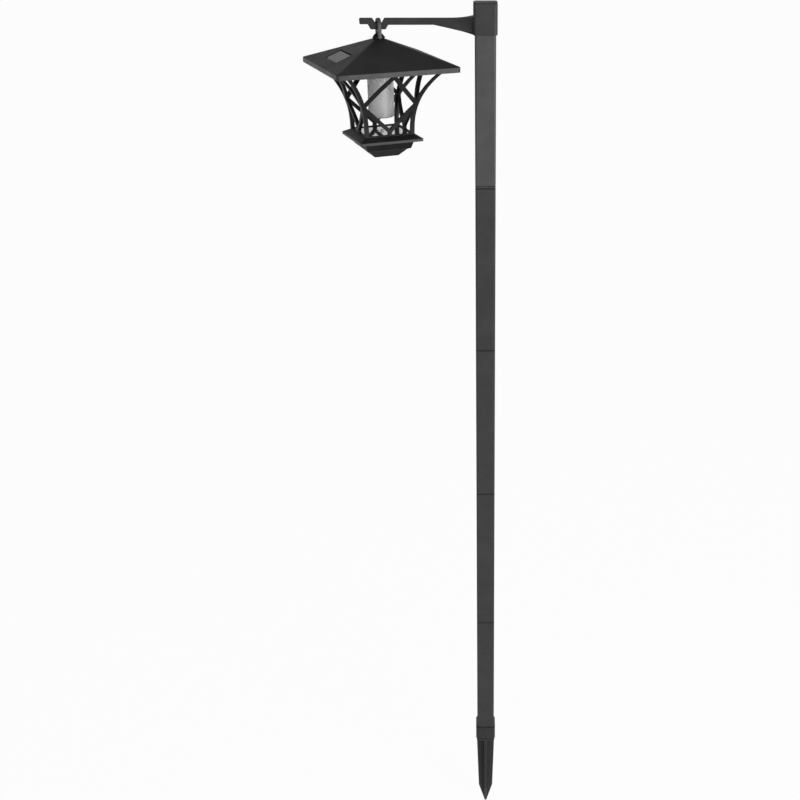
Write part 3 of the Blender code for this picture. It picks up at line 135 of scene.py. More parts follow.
# Bail and hub
BAIL_WIDTH = 5.6 * MM
BAIL_THICK = 3.0 * MM
BAIL_RADIUS = 7.2 * MM
BAIL_LEG = 15.2 * MM
BAIL_BEVEL = 1.1 * MM
EYE_RADIUS = 3.1 * MM
EYE_RIM = 0.5 * MM
EYE_EASE = 0.15 * MM
PIN_RADIUS = 1.0 * MM
PIN_LENGTH = 3.4 * MM
HUB_TOP_RADIUS = 6.2 * MM
HUB_RADIUS = 9.2 * MM
HUB_BASE_RADIUS = 8.0 * MM
HUB_HEIGHT = 6.6 * MM
HUB_WAIST = 2.0 * MM
HUB_EDGE = 0.8 * MM
HUB_ROUND = 0.5 * MM
HUB_PIN_HEIGHT = 3.2 * MM
HUB_STEM_RADIUS = 4.2 * MM

# Roof and panel
ROOF_SIDE = 182.4 * MM
ROOF_RISE = 32.4 * MM
ROOF_FASCIA = 7.5 * MM
ROOF_CORNER = 3.6 * MM
ROOF_WALL = 2.2 * MM
ROOF_EDGE = 0.7 * MM
APEX_SIDE = 17.0 * MM
APEX_THICK = 3.0 * MM
APEX_ROUND = 0.6 * MM
BROW_ROUND = 1.1 * MM
DRIP_ROUND = 0.5 * MM
LIP_ROUND = 0.4 * MM
PANEL_LONG = 54.0 * MM
PANEL_SHORT = 25.0 * MM
PANEL_THICK = 2.2 * MM
PANEL_CORNER = 1.0 * MM
PANEL_SINK = 0.7 * MM
PANEL_SLIT = 1.6 * MM
PANEL_CENTRE = 61.0 * MM
PANEL_POCKET = 5.2 * MM
PANEL_MARGIN = 1.6 * MM
CELL_COUNT = 4
CELL_GAP = 0.7 * MM
CELL_THICK = 0.12 * MM
BUSBAR_WIDTH = 0.6 * MM
BUSBAR_THICK = 0.05 * MM
BUSBAR_PLACES = (-0.25, 0.25)
TRAY_WALL = 2.0 * MM
TRAY_FLOOR = 1.4 * MM

# Cage
CAGE_HEIGHT = 95.4 * MM
CAGE_BASE = 38.0 * MM
CAGE_TOP = 75.4 * MM
CAGE_FLARE = 2.5
CAGE_THICK = 5.2 * MM
CAGE_POST = CAGE_THICK + 0.9 * MM
CAGE_BAR = 5.8 * MM
CAGE_RING = 1.6 * MM
CAGE_FRAME = 2.4 * MM
CAGE_CROWN = 0.5 * MM
CAGE_FLANGE = 13.0 * MM
CAGE_FLANGE_THICK = 1.9 * MM
CAGE_MIDDLE = 44.8 * MM
CAGE_PEAK = 6.0 * MM
CAGE_FOOT = 6.6 * MM
CAGE_FILLET = 1.4 * MM
CAGE_LEVELS = 30
CAGE_LEVEL_POWER = 0.7
CAGE_ROUND = 0.6 * MM

# Base and foot
BASE_SIDE = 96.0 * MM
BASE_EDGE = 4.0 * MM
BASE_CORNER = 1.5 * MM
BASE_TOP_WALL = 3.0 * MM
FOOT_TOP = 75.0 * MM
FOOT_STEP = 67.6 * MM
FOOT_LEDGE = 59.2 * MM
FOOT_SOLE = 37.6 * MM
FOOT_UPPER = 11.6 * MM
FOOT_TREAD = 1.4 * MM
FOOT_SPIGOT = 2.6 * MM
EDGE_ROUND = 0.6 * MM
SHEET_SIDE = 65.0 * MM
SHEET_CELLS = 96
SHEET_SINK = 0.25 * MM
SHEET_RING = 8.0 * MM
SHEET_RING_WIDTH = 1.1 * MM
SHEET_RING_RISE = 0.105 * MM
SHEET_BUCKLE = 0.007 * MM

# Diffuser
CUP_RADIUS = 19.3 * MM
CUP_WALL = 1.6 * MM
CUP_EDGE = 3.0 * MM
CUP_LIP = 2.6 * MM
CUP_FLANGE = 2.0 * MM
CUP_COLUMNS = 34
CUP_PITCH = 3.4 * MM
CUP_RELIEF = 0.12 * MM
CUP_RINGS = 4
CUP_RING_PITCH = 4.0 * MM
CUP_RING_RISE = 0.25 * MM

# Screws and switch
SCREW_RADIUS = 1.2 * MM
SCREW_HEAD_RADIUS = 2.4 * MM
SCREW_HEAD = 1.8 * MM
SCREW_BRIM = 0.81 * MM
SCREW_TURN = 37
FOOT_SCREW_TURN = 25
CROSS_SPAN = 2.9 * MM
CROSS_WIDTH = 0.75 * MM
CROSS_DEPTH = 0.9 * MM
KNOB_RIBS = 4
KNOB_PITCH = 0.9 * MM
KNOB_GROOVE = 0.35 * MM
KNOB_ROUND = 0.2 * MM

# Facets, and the distances and angles (in degrees) that mesh steps go by
CORNER_STEPS = 8
ROUND_STEPS = 72
CURVE_STEPS = 18
FILLET_STEPS = 6
EDGE_STEPS = 8
LENS_STEPS = 4
PIN_STEPS = 24
SCREW_STEPS = 32
BISECTIONS = 50
CORNER_SHARE = 0.45
WELD = 0.001 * MM
TOUCH = 0.01 * MM
MITRE = 0.02 * MM
SMOOTH_ANGLE = 38.0
SHARP_ANGLE = 40.0

# Stage: the world's stops are (height, level)
FLOOR_RADIUS = 24.0
FLOOR_DROP = 1.0 * MM
FLOOR_TONE = 0.94
FLOOR_WHITE = 0.965
WORLD_STOPS = ((-1.0, 0.70), (-0.02, 0.75), (0.12, 0.62), (0.32, 0.44), (0.70, 0.22), (1.0, 0.30))
KEY_PLACE = (1.75, -2.15, 1.15)
KEY_AIM = (-0.1, 0.0, 1.1)
KEY_SIDE = 1.5
KEY_LEVEL = 7.2
CAMERA_PLACE = (-0.01217, -1.75363, 1.52145)
CAMERA_TILT = 25.108
CAMERA_PAN = -0.418
CAMERA_SENSOR = 36.0
CAMERA_LENS = 52.718
CAMERA_SHIFT = -0.1073


# Places

def shift(x, y, z):
    """A move."""
    return Matrix.Translation((x, y, z))


def turn(degrees, axis):
    """A turn about an axis through the origin."""
    return Matrix.Rotation(math.radians(degrees), 4, axis)


def heading(joint):
    """The turn about z that takes the y direction to a joint's level axis."""
    x, y, _ = JOINTS[joint]["axis"]
    return Matrix.Rotation(math.atan2(-x, y), 4, "Z")


def levels(node):
    """Heights of a node's lowest and highest points."""
    return [corner.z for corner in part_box(node)]


def below_roof(node):
    """The same heights, measured from the roof's flat top."""
    return [level - ROOF_TOP for level in levels(node)]


COLLAR_LOW, COLLAR_TOP = levels("arm_bracket")
COLLAR_SIDE = POLE_SIDE + 2 * (SOCKET_FIT + COLLAR_WALL)
SPIKE_LOW, SPIKE_HIGH = levels("ground_spike")
AXIS_X, AXIS_Y = JOINTS["lantern_swivel"]["pos_m"][:2]
BAIL_ARCH_Z = levels("hanger_bail")[1] - BAIL_RADIUS - BAIL_THICK
HUB_Z = levels("finial_hub")[1] - HUB_HEIGHT
ROOF_TOP = levels("roof_shell")[1]
ROOF_SLOPE = math.atan2(ROOF_RISE, (ROOF_SIDE - APEX_SIDE) / 2)
LANTERN = shift(AXIS_X, AXIS_Y, ROOF_TOP) @ heading("switch_slide")
HANGER = shift(AXIS_X, AXIS_Y, 0.0) @ heading("bail_swing")
PANEL_DROP = (PANEL_CENTRE - APEX_SIDE / 2) * math.tan(ROOF_SLOPE)
SLOPE = LANTERN @ shift(-PANEL_CENTRE, 0.0, -PANEL_DROP) @ Matrix.Rotation(-ROOF_SLOPE, 4, "Y")


# Materials

class Nodes:
    """A node tree with short ways to add nodes and feed their sockets."""

    def __init__(self, tree):
        self.tree = tree

    def feed(self, socket, value):
        """Link an output to a socket, or set a plain value on it."""
        if isinstance(value, bpy.types.NodeSocket):
            self.tree.links.new(value, socket)
        else:
            socket.default_value = value

    def node(self, kind, sockets=None, **settings):
        """Add a shader node with its settings, and feed its sockets."""
        made = self.tree.nodes.new("ShaderNode" + kind)
        for key, value in settings.items():
            setattr(made, key, value)
        for key, value in (sockets or {}).items():
            self.feed(made.inputs[key], value)
        return made

    def calc(self, operation, first, second):
        """A number worked out from two others."""
        return self.node("Math", {0: first, 1: second}, operation=operation).outputs["Value"]

    def span(self, value, low, high, first=0.0, last=1.0):
        """Map a value between low and high to one between first and last."""
        sockets = {"Value": value, "From Min": low, "From Max": high, "To Min": first, "To Max": last}
        return self.node("MapRange", sockets).outputs["Result"]


class Paint(Nodes):
    """A Principled material with short ways to vary it."""

    def __init__(self, name):
        self.material = bpy.data.materials.new(name)
        self.material.use_nodes = True
        super().__init__(self.material.node_tree)
        self.shader = self.tree.nodes["Principled BSDF"]
        self.place = self.node("TexCoord").outputs["Object"]

    def set(self, **values):
        """Give the shader's sockets their values, named with _ for a space."""
        for key, value in values.items():
            self.feed(self.shader.inputs[key.replace("_", " ")], value)

    def stretched(self, scale):
        """The object's coordinates, scaled along each axis."""
        return self.node("Mapping", {"Scale": scale, "Vector": self.place}).outputs["Vector"]

    def noise(self, scale, detail=3.0, rough=0.55, distortion=0.0, place=None):
        """Cloudy noise about 0.5."""
        sockets = {"Scale": scale, "Detail": detail, "Roughness": rough, "Distortion": distortion,
                   "Vector": place or self.place}
        return self.node("TexNoise", sockets).outputs["Fac"]

    def mix(self, factor, first, second):
        """A colour between two others."""
        return self.node("Mix", {"Factor": factor, 6: first, 7: second}, data_type="RGBA").outputs[2]

    def clouded(self, value, first, second, low=0.3, high=0.7):
        """One colour up to the low value, another from the high one, and a blend between."""
        return self.mix(self.span(value, low, high), first, second)

    def bump(self, height, distance, strength, normal=None):
        """A normal tilted by a height, on top of another normal if there is one."""
        sockets = {"Strength": strength, "Distance": distance, "Height": height}
        if normal is not None:
            sockets["Normal"] = normal
        return self.node("Bump", sockets).outputs["Normal"]

    def edges(self, radius, flat=0.995, sharp=0.86):
        """1 on edges sharper than the radius, 0 on flats."""
        rounded = self.node("Bevel", {"Radius": radius}, samples=4).outputs["Normal"]
        surface = self.node("NewGeometry").outputs["Normal"]
        dot = self.node("VectorMath", {0: rounded, 1: surface}, operation="DOT_PRODUCT")
        return self.span(dot.outputs["Value"], flat, sharp)

    def facing_up(self, least=0.3):
        """1 where the surface faces up, 0 where it is steep or faces down."""
        surface = self.node("NewGeometry").outputs["Normal"]
        return self.span(self.node("SeparateXYZ", {"Vector": surface}).outputs["Z"], least, 1.0)


def grey(level, warm=0.0):
    """A grey, warmer by a share."""
    return (level * (1 + warm), level, level * (1 - warm), 1.0)


# Reach of the toned edges and creases, their least and most strength, and the scale of the grain. A darker
# edge tone is painted shade, a lighter one is wear
MOULDED = (1.1 * MM, 0.15, 0.75, 1900.0)
DRAWN = (2.4 * MM, 0.60, 0.95, 1500.0)


def plastic(name, dark, light, edge, roughness, grain, gloss, drawn=False):
    """Black plastic: clouded tone, edges and creases of another tone (wear where it is lighter than the
    body, painted shade where it is darker), a little dust, uneven gloss and fine grain.

    Drawn plastic also has fine lines along its length.
    """
    paint = Paint(name)
    reach, least, most, pores = DRAWN if drawn else MOULDED
    body = paint.clouded(paint.noise(38.0, 5.0), grey(dark), grey(light), 0.36, 0.64)
    edge_wear_and_shade_strength = paint.span(paint.noise(160.0, 4.0, 0.7), 0.35, 0.7, least, most)
    # Edges and creases take the edge tone: wear where it is lighter than the body, painted shade where it is
    # darker, as on the post and the bracket.
    body = paint.mix(paint.calc("MULTIPLY", paint.edges(reach), edge_wear_and_shade_strength), body, grey(edge))
    dust = paint.span(paint.noise(420.0, 6.0, 0.7), 0.5, 0.85, 0.0, 0.22)
    body = paint.mix(paint.calc("MULTIPLY", paint.facing_up(), dust), body, grey(edge * 1.6, 0.03))
    smear = paint.noise(22.0, 4.0, 0.6, 0.8)
    normal = paint.bump(paint.noise(34.0, 2.0), 0.5 * MM, 0.35)
    if drawn:
        lines = paint.noise(1.0, 3.0, 0.6, place=paint.stretched((1500.0, 1500.0, 7.0)))
        normal = paint.bump(lines, 0.05 * MM, 0.5, normal)
    paint.set(Base_Color=body, Roughness=paint.span(smear, 0.3, 0.7, *roughness),
              Specular_IOR_Level=gloss,
              Normal=paint.bump(paint.noise(pores, 3.0, 0.6), grain, 0.7, normal))
    return paint.material


def two_tone(name, cloud, first, second, roughness, grain=None, limits=(0.3, 0.7), **values):
    """Two close tones in a noise that also varies the gloss, with a fine grain.

    cloud is the noise's scale, detail and roughness; grain is the bump's scale, depth and strength.
    """
    paint = Paint(name)
    spot = paint.noise(*cloud)
    paint.set(Base_Color=paint.clouded(spot, first, second),
              Roughness=paint.span(spot, *limits, *roughness), **values)
    if grain:
        scale, depth, strength = grain
        paint.set(Normal=paint.bump(paint.noise(scale, 2.0), depth, strength))
    return paint.material


def simple(name, first, second, roughness):
    """The material of a piece inside the lantern."""
    return two_tone(name, (300.0, 4.0, 0.6), (*first, 1.0), (*second, 1.0), roughness,
                    (1800.0, 0.04 * MM, 0.5))


def frosted():
    """Milky clear plastic with a painted highlight: whiter where the lenses of the cup's wall stand out."""
    paint = Paint("cup_frosted")
    lens = paint.node("Attribute", attribute_name="lens").outputs["Fac"]
    body = paint.clouded(paint.noise(60.0), (0.50, 0.50, 0.51, 1.0), grey(0.58))
    # Painted highlight: the crowns of the lenses are painted near white.
    paint.set(Base_Color=paint.clouded(lens, body, grey(0.97), 0.0, 1.0),
              Roughness=paint.span(lens, 0.0, 1.0, 0.46, 0.36),
              Transmission_Weight=0.64, IOR=1.40,
              Normal=paint.bump(paint.noise(900.0, 2.0), 0.01 * MM, 0.4))
    return paint.material


def white_plastic():
    """Slightly uneven white plastic."""
    paint = Paint("stem_white")
    body = paint.clouded(paint.noise(60.0, 4.0), (0.70, 0.70, 0.68, 1.0), (0.80, 0.80, 0.79, 1.0))
    paint.set(Base_Color=body, Roughness=paint.span(paint.noise(90.0), 0.3, 0.7, 0.34, 0.5),
              Normal=paint.bump(paint.noise(1400.0), 0.05 * MM, 0.5))
    return paint.material


def mirror_sheet():
    """Polished metallised sheet with faint rolling lines and haze."""
    paint = Paint("sheet_silver")
    haze = paint.noise(120.0, 5.0, 0.65)
    body = paint.clouded(haze, (0.80, 0.81, 0.82, 1.0), grey(0.92), 0.3, 0.75)
    rolled = paint.noise(1.0, place=paint.stretched((2400.0, 60.0, 60.0)))
    waves = paint.bump(paint.noise(60.0, 2.0), 0.03 * MM, 0.4)
    paint.set(Base_Color=body, Metallic=1.0, Roughness=paint.span(haze, 0.3, 0.8, 0.05, 0.12),
              Normal=paint.bump(rolled, 0.006 * MM, 0.4, waves))
    return paint.material


def cell_glass():
    """Silicon under a clear resin coat: faint crystal flakes and fine contact fingers."""
    paint = Paint("cell_silicon")
    flakes = paint.node("TexVoronoi", {"Scale": 420.0, "Vector": paint.place}).outputs["Color"]
    tone = paint.node("RGBToBW", {"Color": flakes}).outputs["Val"]
    body = paint.clouded(tone, (0.022, 0.024, 0.029, 1.0), (0.032, 0.034, 0.040, 1.0), 0.1, 0.9)
    fingers = paint.node("TexWave", {"Scale": 140.0, "Vector": paint.place},
                         wave_type="BANDS", bands_direction="Y").outputs["Fac"]
    body = paint.mix(paint.span(fingers, 0.86, 0.98, 0.0, 0.16), body, grey(0.16))
    paint.set(Base_Color=body, Roughness=paint.span(paint.noise(240.0, 4.0), 0.3, 0.7, 0.16, 0.30),
              Coat_Weight=0.30, Coat_Roughness=0.14,
              Normal=paint.bump(paint.noise(150.0, 2.0), 0.12 * MM, 0.4))
    return paint.material


# The post's and the bracket's edge tones are darker than their bodies: painted shade along their corners and
# in their creases.
POST = plastic("post_black", 0.034, 0.043, 0.016, (0.38, 0.50), 0.05 * MM, 0.25, drawn=True)
# The top tube's plastic is the post's own, painted lighter: painted light.
POST_TOP_PAINTED_LIGHTER = plastic("post_top_painted_lighter", 0.068, 0.082, 0.022, (0.38, 0.50), 0.05 * MM, 0.25, drawn=True)
BRACKET = plastic("bracket_black", 0.036, 0.046, 0.018, (0.40, 0.54), 0.06 * MM, 0.25)
STAKE = plastic("stake_black", 0.026, 0.034, 0.09, (0.42, 0.56), 0.06 * MM, 0.20)
STRAP = plastic("strap_black", 0.056, 0.070, 0.13, (0.40, 0.52), 0.06 * MM, 0.40)
SHELL = plastic("shell_black", 0.012, 0.017, 0.060, (0.44, 0.56), 0.07 * MM, 0.46)
MATT = plastic("foot_black", 0.007, 0.010, 0.040, (0.50, 0.62), 0.07 * MM, 0.12)
LATTICE = plastic("lattice_black", 0.008, 0.012, 0.045, (0.42, 0.54), 0.06 * MM, 0.15)
CUP = frosted()
WHITE = white_plastic()
SILVER = mirror_sheet()
STEEL = two_tone("screw_steel", (700.0, 5.0, 0.7), (0.34, 0.34, 0.35, 1.0), (0.60, 0.60, 0.61, 1.0),
                 (0.24, 0.46), (3200.0, 0.02 * MM, 0.5), (0.25, 0.75), Metallic=1.0)
SILICON = cell_glass()
RESIN = two_tone("panel_resin", (260.0, 4.0), grey(0.035), grey(0.060), (0.18, 0.34),
                 (110.0, 0.15 * MM, 0.4), Coat_Weight=0.4)
TIN = two_tone("busbar_tin", (900.0, 4.0), grey(0.30), grey(0.46), (0.3, 0.5), Metallic=0.85)
INSIDE = {
    "rubber": simple("gasket_rubber", (0.016, 0.016, 0.016), (0.026, 0.026, 0.026), (0.75, 0.9)),
    "board_green": simple("board_mask", (0.010, 0.12, 0.05), (0.018, 0.17, 0.075), (0.35, 0.5)),
    "steel": STEEL,
    "white_plastic": WHITE,
    "cell_sleeve": simple("cell_wrap", (0.035, 0.16, 0.36), (0.055, 0.21, 0.43), (0.3, 0.42)),
    "led_lens": simple("lamp_lens", (0.80, 0.76, 0.52), (0.88, 0.86, 0.66), (0.08, 0.16)),
    "wire_red": simple("lead_red", (0.42, 0.02, 0.02), (0.52, 0.04, 0.03), (0.42, 0.55)),
    "wire_black": simple("lead_black", (0.015, 0.015, 0.015), (0.025, 0.025, 0.025), (0.42, 0.55)),
    "lantern_plastic": SHELL,
}


# Mesh helpers

def shown(name, data):
    """A new object in the scene."""
    obj = bpy.data.objects.new(name, data)
    bpy.context.scene.collection.objects.link(obj)
    return obj


def as_mesh(name, bm):
    """Turn a bmesh into a mesh and free it."""
    mesh = bpy.data.meshes.new(name)
    bm.to_mesh(mesh)
    bm.free()
    return mesh


def finish_mesh(name, bm):
    """Face a closed bmesh outwards and make it a mesh."""
    bmesh.ops.recalc_face_normals(bm, faces=bm.faces)
    return as_mesh(name, bm)


def evaluated_mesh(holder):
    """The mesh that an object's modifiers or curve settings make, with its seams welded."""
    depsgraph = bpy.context.evaluated_depsgraph_get()
    mesh = bpy.data.meshes.new_from_object(holder.evaluated_get(depsgraph))
    bpy.data.objects.remove(holder, do_unlink=True)
    bm = bmesh.new()
    bm.from_mesh(mesh)
    bmesh.ops.remove_doubles(bm, verts=bm.verts, dist=WELD)
    bmesh.ops.recalc_face_normals(bm, faces=bm.faces)
    bm.to_mesh(mesh)
    bm.free()
    return mesh


def combined(mesh, other, operation):
    """Join or cut one closed mesh with another."""
    holder = shown("holder", mesh)
    tool = shown("tool", other)
    boolean = holder.modifiers.new("boolean", "BOOLEAN")
    boolean.operation = operation
    boolean.solver = "EXACT"
    boolean.object = tool
    made = evaluated_mesh(holder)
    bpy.data.objects.remove(tool, do_unlink=True)
    return made


def joined(mesh, other):
    """Two closed meshes as one."""
    return combined(mesh, other, "UNION")


def cut(mesh, other):
    """A closed mesh less another."""
    return combined(mesh, other, "DIFFERENCE")


def gathered(*meshes):
    """Several meshes as one, each kept as its own island."""
    bm = bmesh.new()
    for mesh in meshes:
        bm.from_mesh(mesh)
    return as_mesh("gathered", bm)


def moved(mesh, matrix):
    """The same mesh, after a move or turn."""
    mesh.transform(matrix)
    return mesh


def rounded_rectangle(length, width, radius, steps=CORNER_STEPS):
    """Points round a rectangle with round corners, anticlockwise from the +x side."""
    points = []
    for quarter, (side_x, side_y) in enumerate(((1, 1), (-1, 1), (-1, -1), (1, -1))):
        for step in range(steps + 1):
            angle = math.radians(90) * (quarter + step / steps)
            x = side_x * (length / 2 - radius) + radius * math.cos(angle)
            y = side_y * (width / 2 - radius) + radius * math.sin(angle)
            points.append((x, y))
    return points


def arc(start, corner, end, steps):
    """Points on a curve that rounds a corner, both ends included."""
    points = []
    for step in range(steps + 1):
        t = step / steps
        weights = ((1 - t) ** 2, 2 * t * (1 - t), t ** 2)
        points.append(tuple(weights[0] * a + weights[1] * b + weights[2] * c
                            for a, b, c in zip(start, corner, end)))
    return points


def bend(before, corner, after, reach, steps=4):
    """Sections that round the corner between two straight runs of (side, corner radius, height)."""
    ends = []
    for other in (before, after):
        size = math.hypot((other[0] - corner[0]) / 2, other[2] - corner[2])
        share = min(reach / size, CORNER_SHARE)
        ends.append(tuple(c + (o - c) * share for c, o in zip(corner, other)))
    return arc(ends[0], corner, ends[1], steps)


def eased(sections, reach, ring):
    """Round every inner corner of a run of sections, or every corner of a ring."""
    made = []
    last = len(sections) - 1
    for index, section in enumerate(sections):
        if not ring and index in (0, last):
            made.append(section)
            continue
        before = sections[index - 1]
        after = sections[(index + 1) % len(sections)]
        made.extend(bend(before, section, after, reach))
    return made


def band(bm, below, above):
    """Faces between two closed loops of points, either of which may be a single point."""
    count = max(len(below), len(above))
    for index in range(count):
        after = (index + 1) % count
        corners = (below[index % len(below)], below[after % len(below)],
                   above[after % len(above)], above[index % len(above)])
        bm.faces.new(tuple(dict.fromkeys(corners)))


def square_loft(sections, reach=0.0, ring=False):
    """A closed body through level squares of (side, corner radius, height), eased by a reach.

    It has flat ends, or it is a ring whose last square joins the first.
    """
    bm = bmesh.new()
    loops = []
    for side, radius, height in eased(sections, reach, ring) if reach else sections:
        outline = rounded_rectangle(side, side, radius)
        loops.append([bm.verts.new((x, y, height)) for x, y in outline])
    for below, above in zip(loops, loops[1:]):
        band(bm, below, above)
    if ring:
        band(bm, loops[-1], loops[0])
    else:
        bm.faces.new(loops[0])
        bm.faces.new(loops[-1])
    return finish_mesh("loft", bm)


def turned(profile, steps=ROUND_STEPS):
    """A profile of (radius, height) turned about z."""
    bm = bmesh.new()
    points = [bm.verts.new((radius, 0.0, height)) for radius, height in profile]
    for first, second in zip(points, points[1:]):
        bm.edges.new((first, second))
    holder = shown("turned", as_mesh("turned", bm))
    screw = holder.modifiers.new("screw", "SCREW")
    screw.steps = steps
    screw.render_steps = steps
    screw.use_merge_vertices = True
    screw.merge_threshold = WELD
    return evaluated_mesh(holder)


def plate(outlines, thickness, edge=0.0):
    """Flat outlines, the first with the others as holes, thickened about the xy plane and edged."""
    curve = bpy.data.curves.new("outline", "CURVE")
    curve.dimensions = "2D"
    curve.fill_mode = "BOTH"
    curve.extrude = thickness / 2 - edge
    curve.bevel_depth = edge
    curve.bevel_resolution = 3
    curve.offset = -edge
    for outline in outlines:
        spline = curve.splines.new("POLY")
        spline.points.add(len(outline) - 1)
        spline.use_cyclic_u = True
        for point, (x, y) in zip(spline.points, outline):
            point.co = (x, y, 0.0, 1.0)
    return evaluated_mesh(shown("outline", curve))


def upright(mesh):
    """Turn a plate drawn in x and y so that its y becomes height."""
    return moved(mesh, turn(90, "X"))


def cylinder(radius, low, high, steps=ROUND_STEPS):
    """A cylinder about z."""
    return turned([(0.0, high), (radius, high), (radius, low), (0.0, low)], steps)


def box(size, centre):
    """A plain box."""
    bm = bmesh.new()
    bmesh.ops.create_cube(bm, size=1.0, matrix=shift(*centre) @ Matrix.Diagonal((*size, 1.0)))
    return finish_mesh("box", bm)


def fillet(points, radius, least=25.0, closed=True):
    """Round each corner that turns by more than the least angle; an open run keeps its ends."""
    rounded = []
    count = len(points)
    for index, (x, y) in enumerate(points):
        if not closed and index in (0, count - 1):
            rounded.append((x, y))
            continue
        back = (points[index - 1][0] - x, points[index - 1][1] - y)
        ahead = (points[(index + 1) % count][0] - x, points[(index + 1) % count][1] - y)
        size_back = math.hypot(*back)
        size_ahead = math.hypot(*ahead)
        cosine = (back[0] * ahead[0] + back[1] * ahead[1]) / (size_back * size_ahead)
        inside = math.acos(max(-1.0, min(1.0, cosine)))
        if math.pi - inside < math.radians(least):
            rounded.append((x, y))
            continue
        reach = min(radius / math.tan(inside / 2), CORNER_SHARE * size_back, CORNER_SHARE * size_ahead)
        start = (x + back[0] / size_back * reach, y + back[1] / size_back * reach)
        end = (x + ahead[0] / size_ahead * reach, y + ahead[1] / size_ahead * reach)
        rounded += arc(start, (x, y), end, FILLET_STEPS)
    return rounded


def bevelled(mesh, width, segments, clamp=True):
    """A mesh with its sharp edges rounded."""
    holder = shown("holder", mesh)
    rounding = holder.modifiers.new("rounding", "BEVEL")
    rounding.width = width
    rounding.segments = segments
    rounding.limit_method = "ANGLE"
    rounding.angle_limit = math.radians(SHARP_ANGLE)
    rounding.use_clamp_overlap = clamp
    return evaluated_mesh(holder)


def softened(node, width):
    """A copy of a node's mesh with its flats merged and its edges rounded."""
    bm = bmesh.new()
    bm.from_mesh(NODES[node].data)
    bmesh.ops.remove_doubles(bm, verts=bm.verts, dist=TOUCH)
    bmesh.ops.dissolve_limit(bm, angle_limit=math.radians(1.0), verts=bm.verts, edges=bm.edges)
    return bevelled(finish_mesh("soft", bm), width, 2)


def piece(name, mesh, body, paint, slot, *stands_for):
    """Show a mesh as a named piece that rides on a body in place of the nodes it stands for.

    A mesh that has its own materials comes without a paint.
    """
    obj = shown(name, mesh)
    if paint is not None:
        mesh.materials.clear()
        mesh.materials.append(paint)
    mesh.shade_smooth()
    mesh.set_sharp_from_angle(angle=math.radians(SMOOTH_ANGLE))
    even = obj.modifiers.new("even_normals", "WEIGHTED_NORMAL")
    even.keep_sharp = True
    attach(obj, body)
    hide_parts(*stands_for)


# Post

def make_post():
    """Five square tubes with rounded ends, and the plugs whose flanges show between them."""
    bore = POLE_SIDE - 2 * POLE_WALL
    inner = POLE_CORNER - POLE_WALL
    for number in range(1, TUBE_COUNT + 1):
        node = f"pole_tube_{number}"
        paint = POST
        low, high = levels(node)
        outside = [
            (POLE_SIDE, POLE_CORNER, low),
            (POLE_SIDE, POLE_CORNER, high),
            (bore, inner, high),
            (bore, inner, low),
        ]
        if number == TUBE_COUNT:
            # The top tube takes the lighter copy of the post's plastic, which is painted light.
            paint = POST_TOP_PAINTED_LIGHTER
            groove = POLE_SIDE - 2 * RING_DEPTH
            outside[1:1] = [
                (POLE_SIDE, POLE_CORNER, low + RING_LIFT),
                (groove, POLE_CORNER - RING_DEPTH, low + RING_LIFT),
                (groove, POLE_CORNER - RING_DEPTH, low + RING_LIFT + RING_WIDTH),
                (POLE_SIDE, POLE_CORNER, low + RING_LIFT + RING_WIDTH),
            ]
        mesh = square_loft(outside, TUBE_END, ring=True)
        piece(f"post_tube_{number}", mesh, "pole", paint, "post_plastic", node)
    plug = POLE_SIDE - 2 * (POLE_WALL + GAP)
    hollow = plug - 2 * COUPLER_WALL
    flange = POLE_SIDE - 2 * SEAM_SINK
    for number in range(1, TUBE_COUNT):
        node = f"pole_coupler_{number}"
        low, high = levels(node)
        mesh = square_loft([
            (plug, inner, low),
            (plug, inner, low + COUPLER_PLUG),
            (flange, POLE_CORNER - SEAM_SINK, low + COUPLER_PLUG),
            (flange, POLE_CORNER - SEAM_SINK, high - COUPLER_PLUG),
            (plug, inner, high - COUPLER_PLUG),
            (plug, inner, high),
            (hollow, inner, high),
            (hollow, inner, low),
        ], SEAM_ROUND, ring=True)
        piece(f"post_seam_{number}", mesh, "pole", POST, "post_plastic", node)


def make_spike():
    """The socket collar, its shadow groove and the crossed blades."""
    socket = POLE_SIDE + 2 * SOCKET_FIT
    collar = socket + 2 * SPIKE_COLLAR_WALL
    corner = POLE_CORNER + SPIKE_COLLAR_WALL
    neck = SPIKE_SPAN - 2 * SPIKE_GROOVE_DEPTH
    body = square_loft([
        (SPIKE_SPAN, POLE_CORNER, -SPIKE_NECK),
        (SPIKE_SPAN, POLE_CORNER, -SPIKE_GROOVE),
        (neck, POLE_CORNER, -SPIKE_GROOVE),
        (neck, POLE_CORNER, 0.0),
        (collar, corner, 0.0),
        (collar, corner, SPIKE_HIGH - SPIKE_CHAMFER),
        (collar - 2 * SPIKE_CHAMFER, corner - SPIKE_CHAMFER, SPIKE_HIGH),
    ], SPIKE_ROUND)
    outline = fillet([
        (SPIKE_SPAN / 2, -SPIKE_NECK + BLADE_EDGE),
        (-SPIKE_SPAN / 2, -SPIKE_NECK + BLADE_EDGE),
        (-SPIKE_SPAN_LOW / 2, SPIKE_LOW + SPIKE_POINT),
        (-SPIKE_TIP / 2, SPIKE_LOW),
        (SPIKE_TIP / 2, SPIKE_LOW),
        (SPIKE_SPAN_LOW / 2, SPIKE_LOW + SPIKE_POINT),
    ], BLADE_CORNER, BLADE_BEND)
    blade = upright(plate([outline], BLADE_THICK, BLADE_EDGE))
    crossed = moved(blade.copy(), turn(90, "Z"))
    body = joined(body, joined(blade, crossed))
    well = square_loft([
        (socket, POLE_CORNER + SOCKET_FIT, 0.0),
        (socket, POLE_CORNER + SOCKET_FIT, SPIKE_HIGH + SPIKE_CHAMFER),
    ])
    piece("spike_stake", cut(body, well), "pole", STAKE, "post_plastic", "ground_spike")


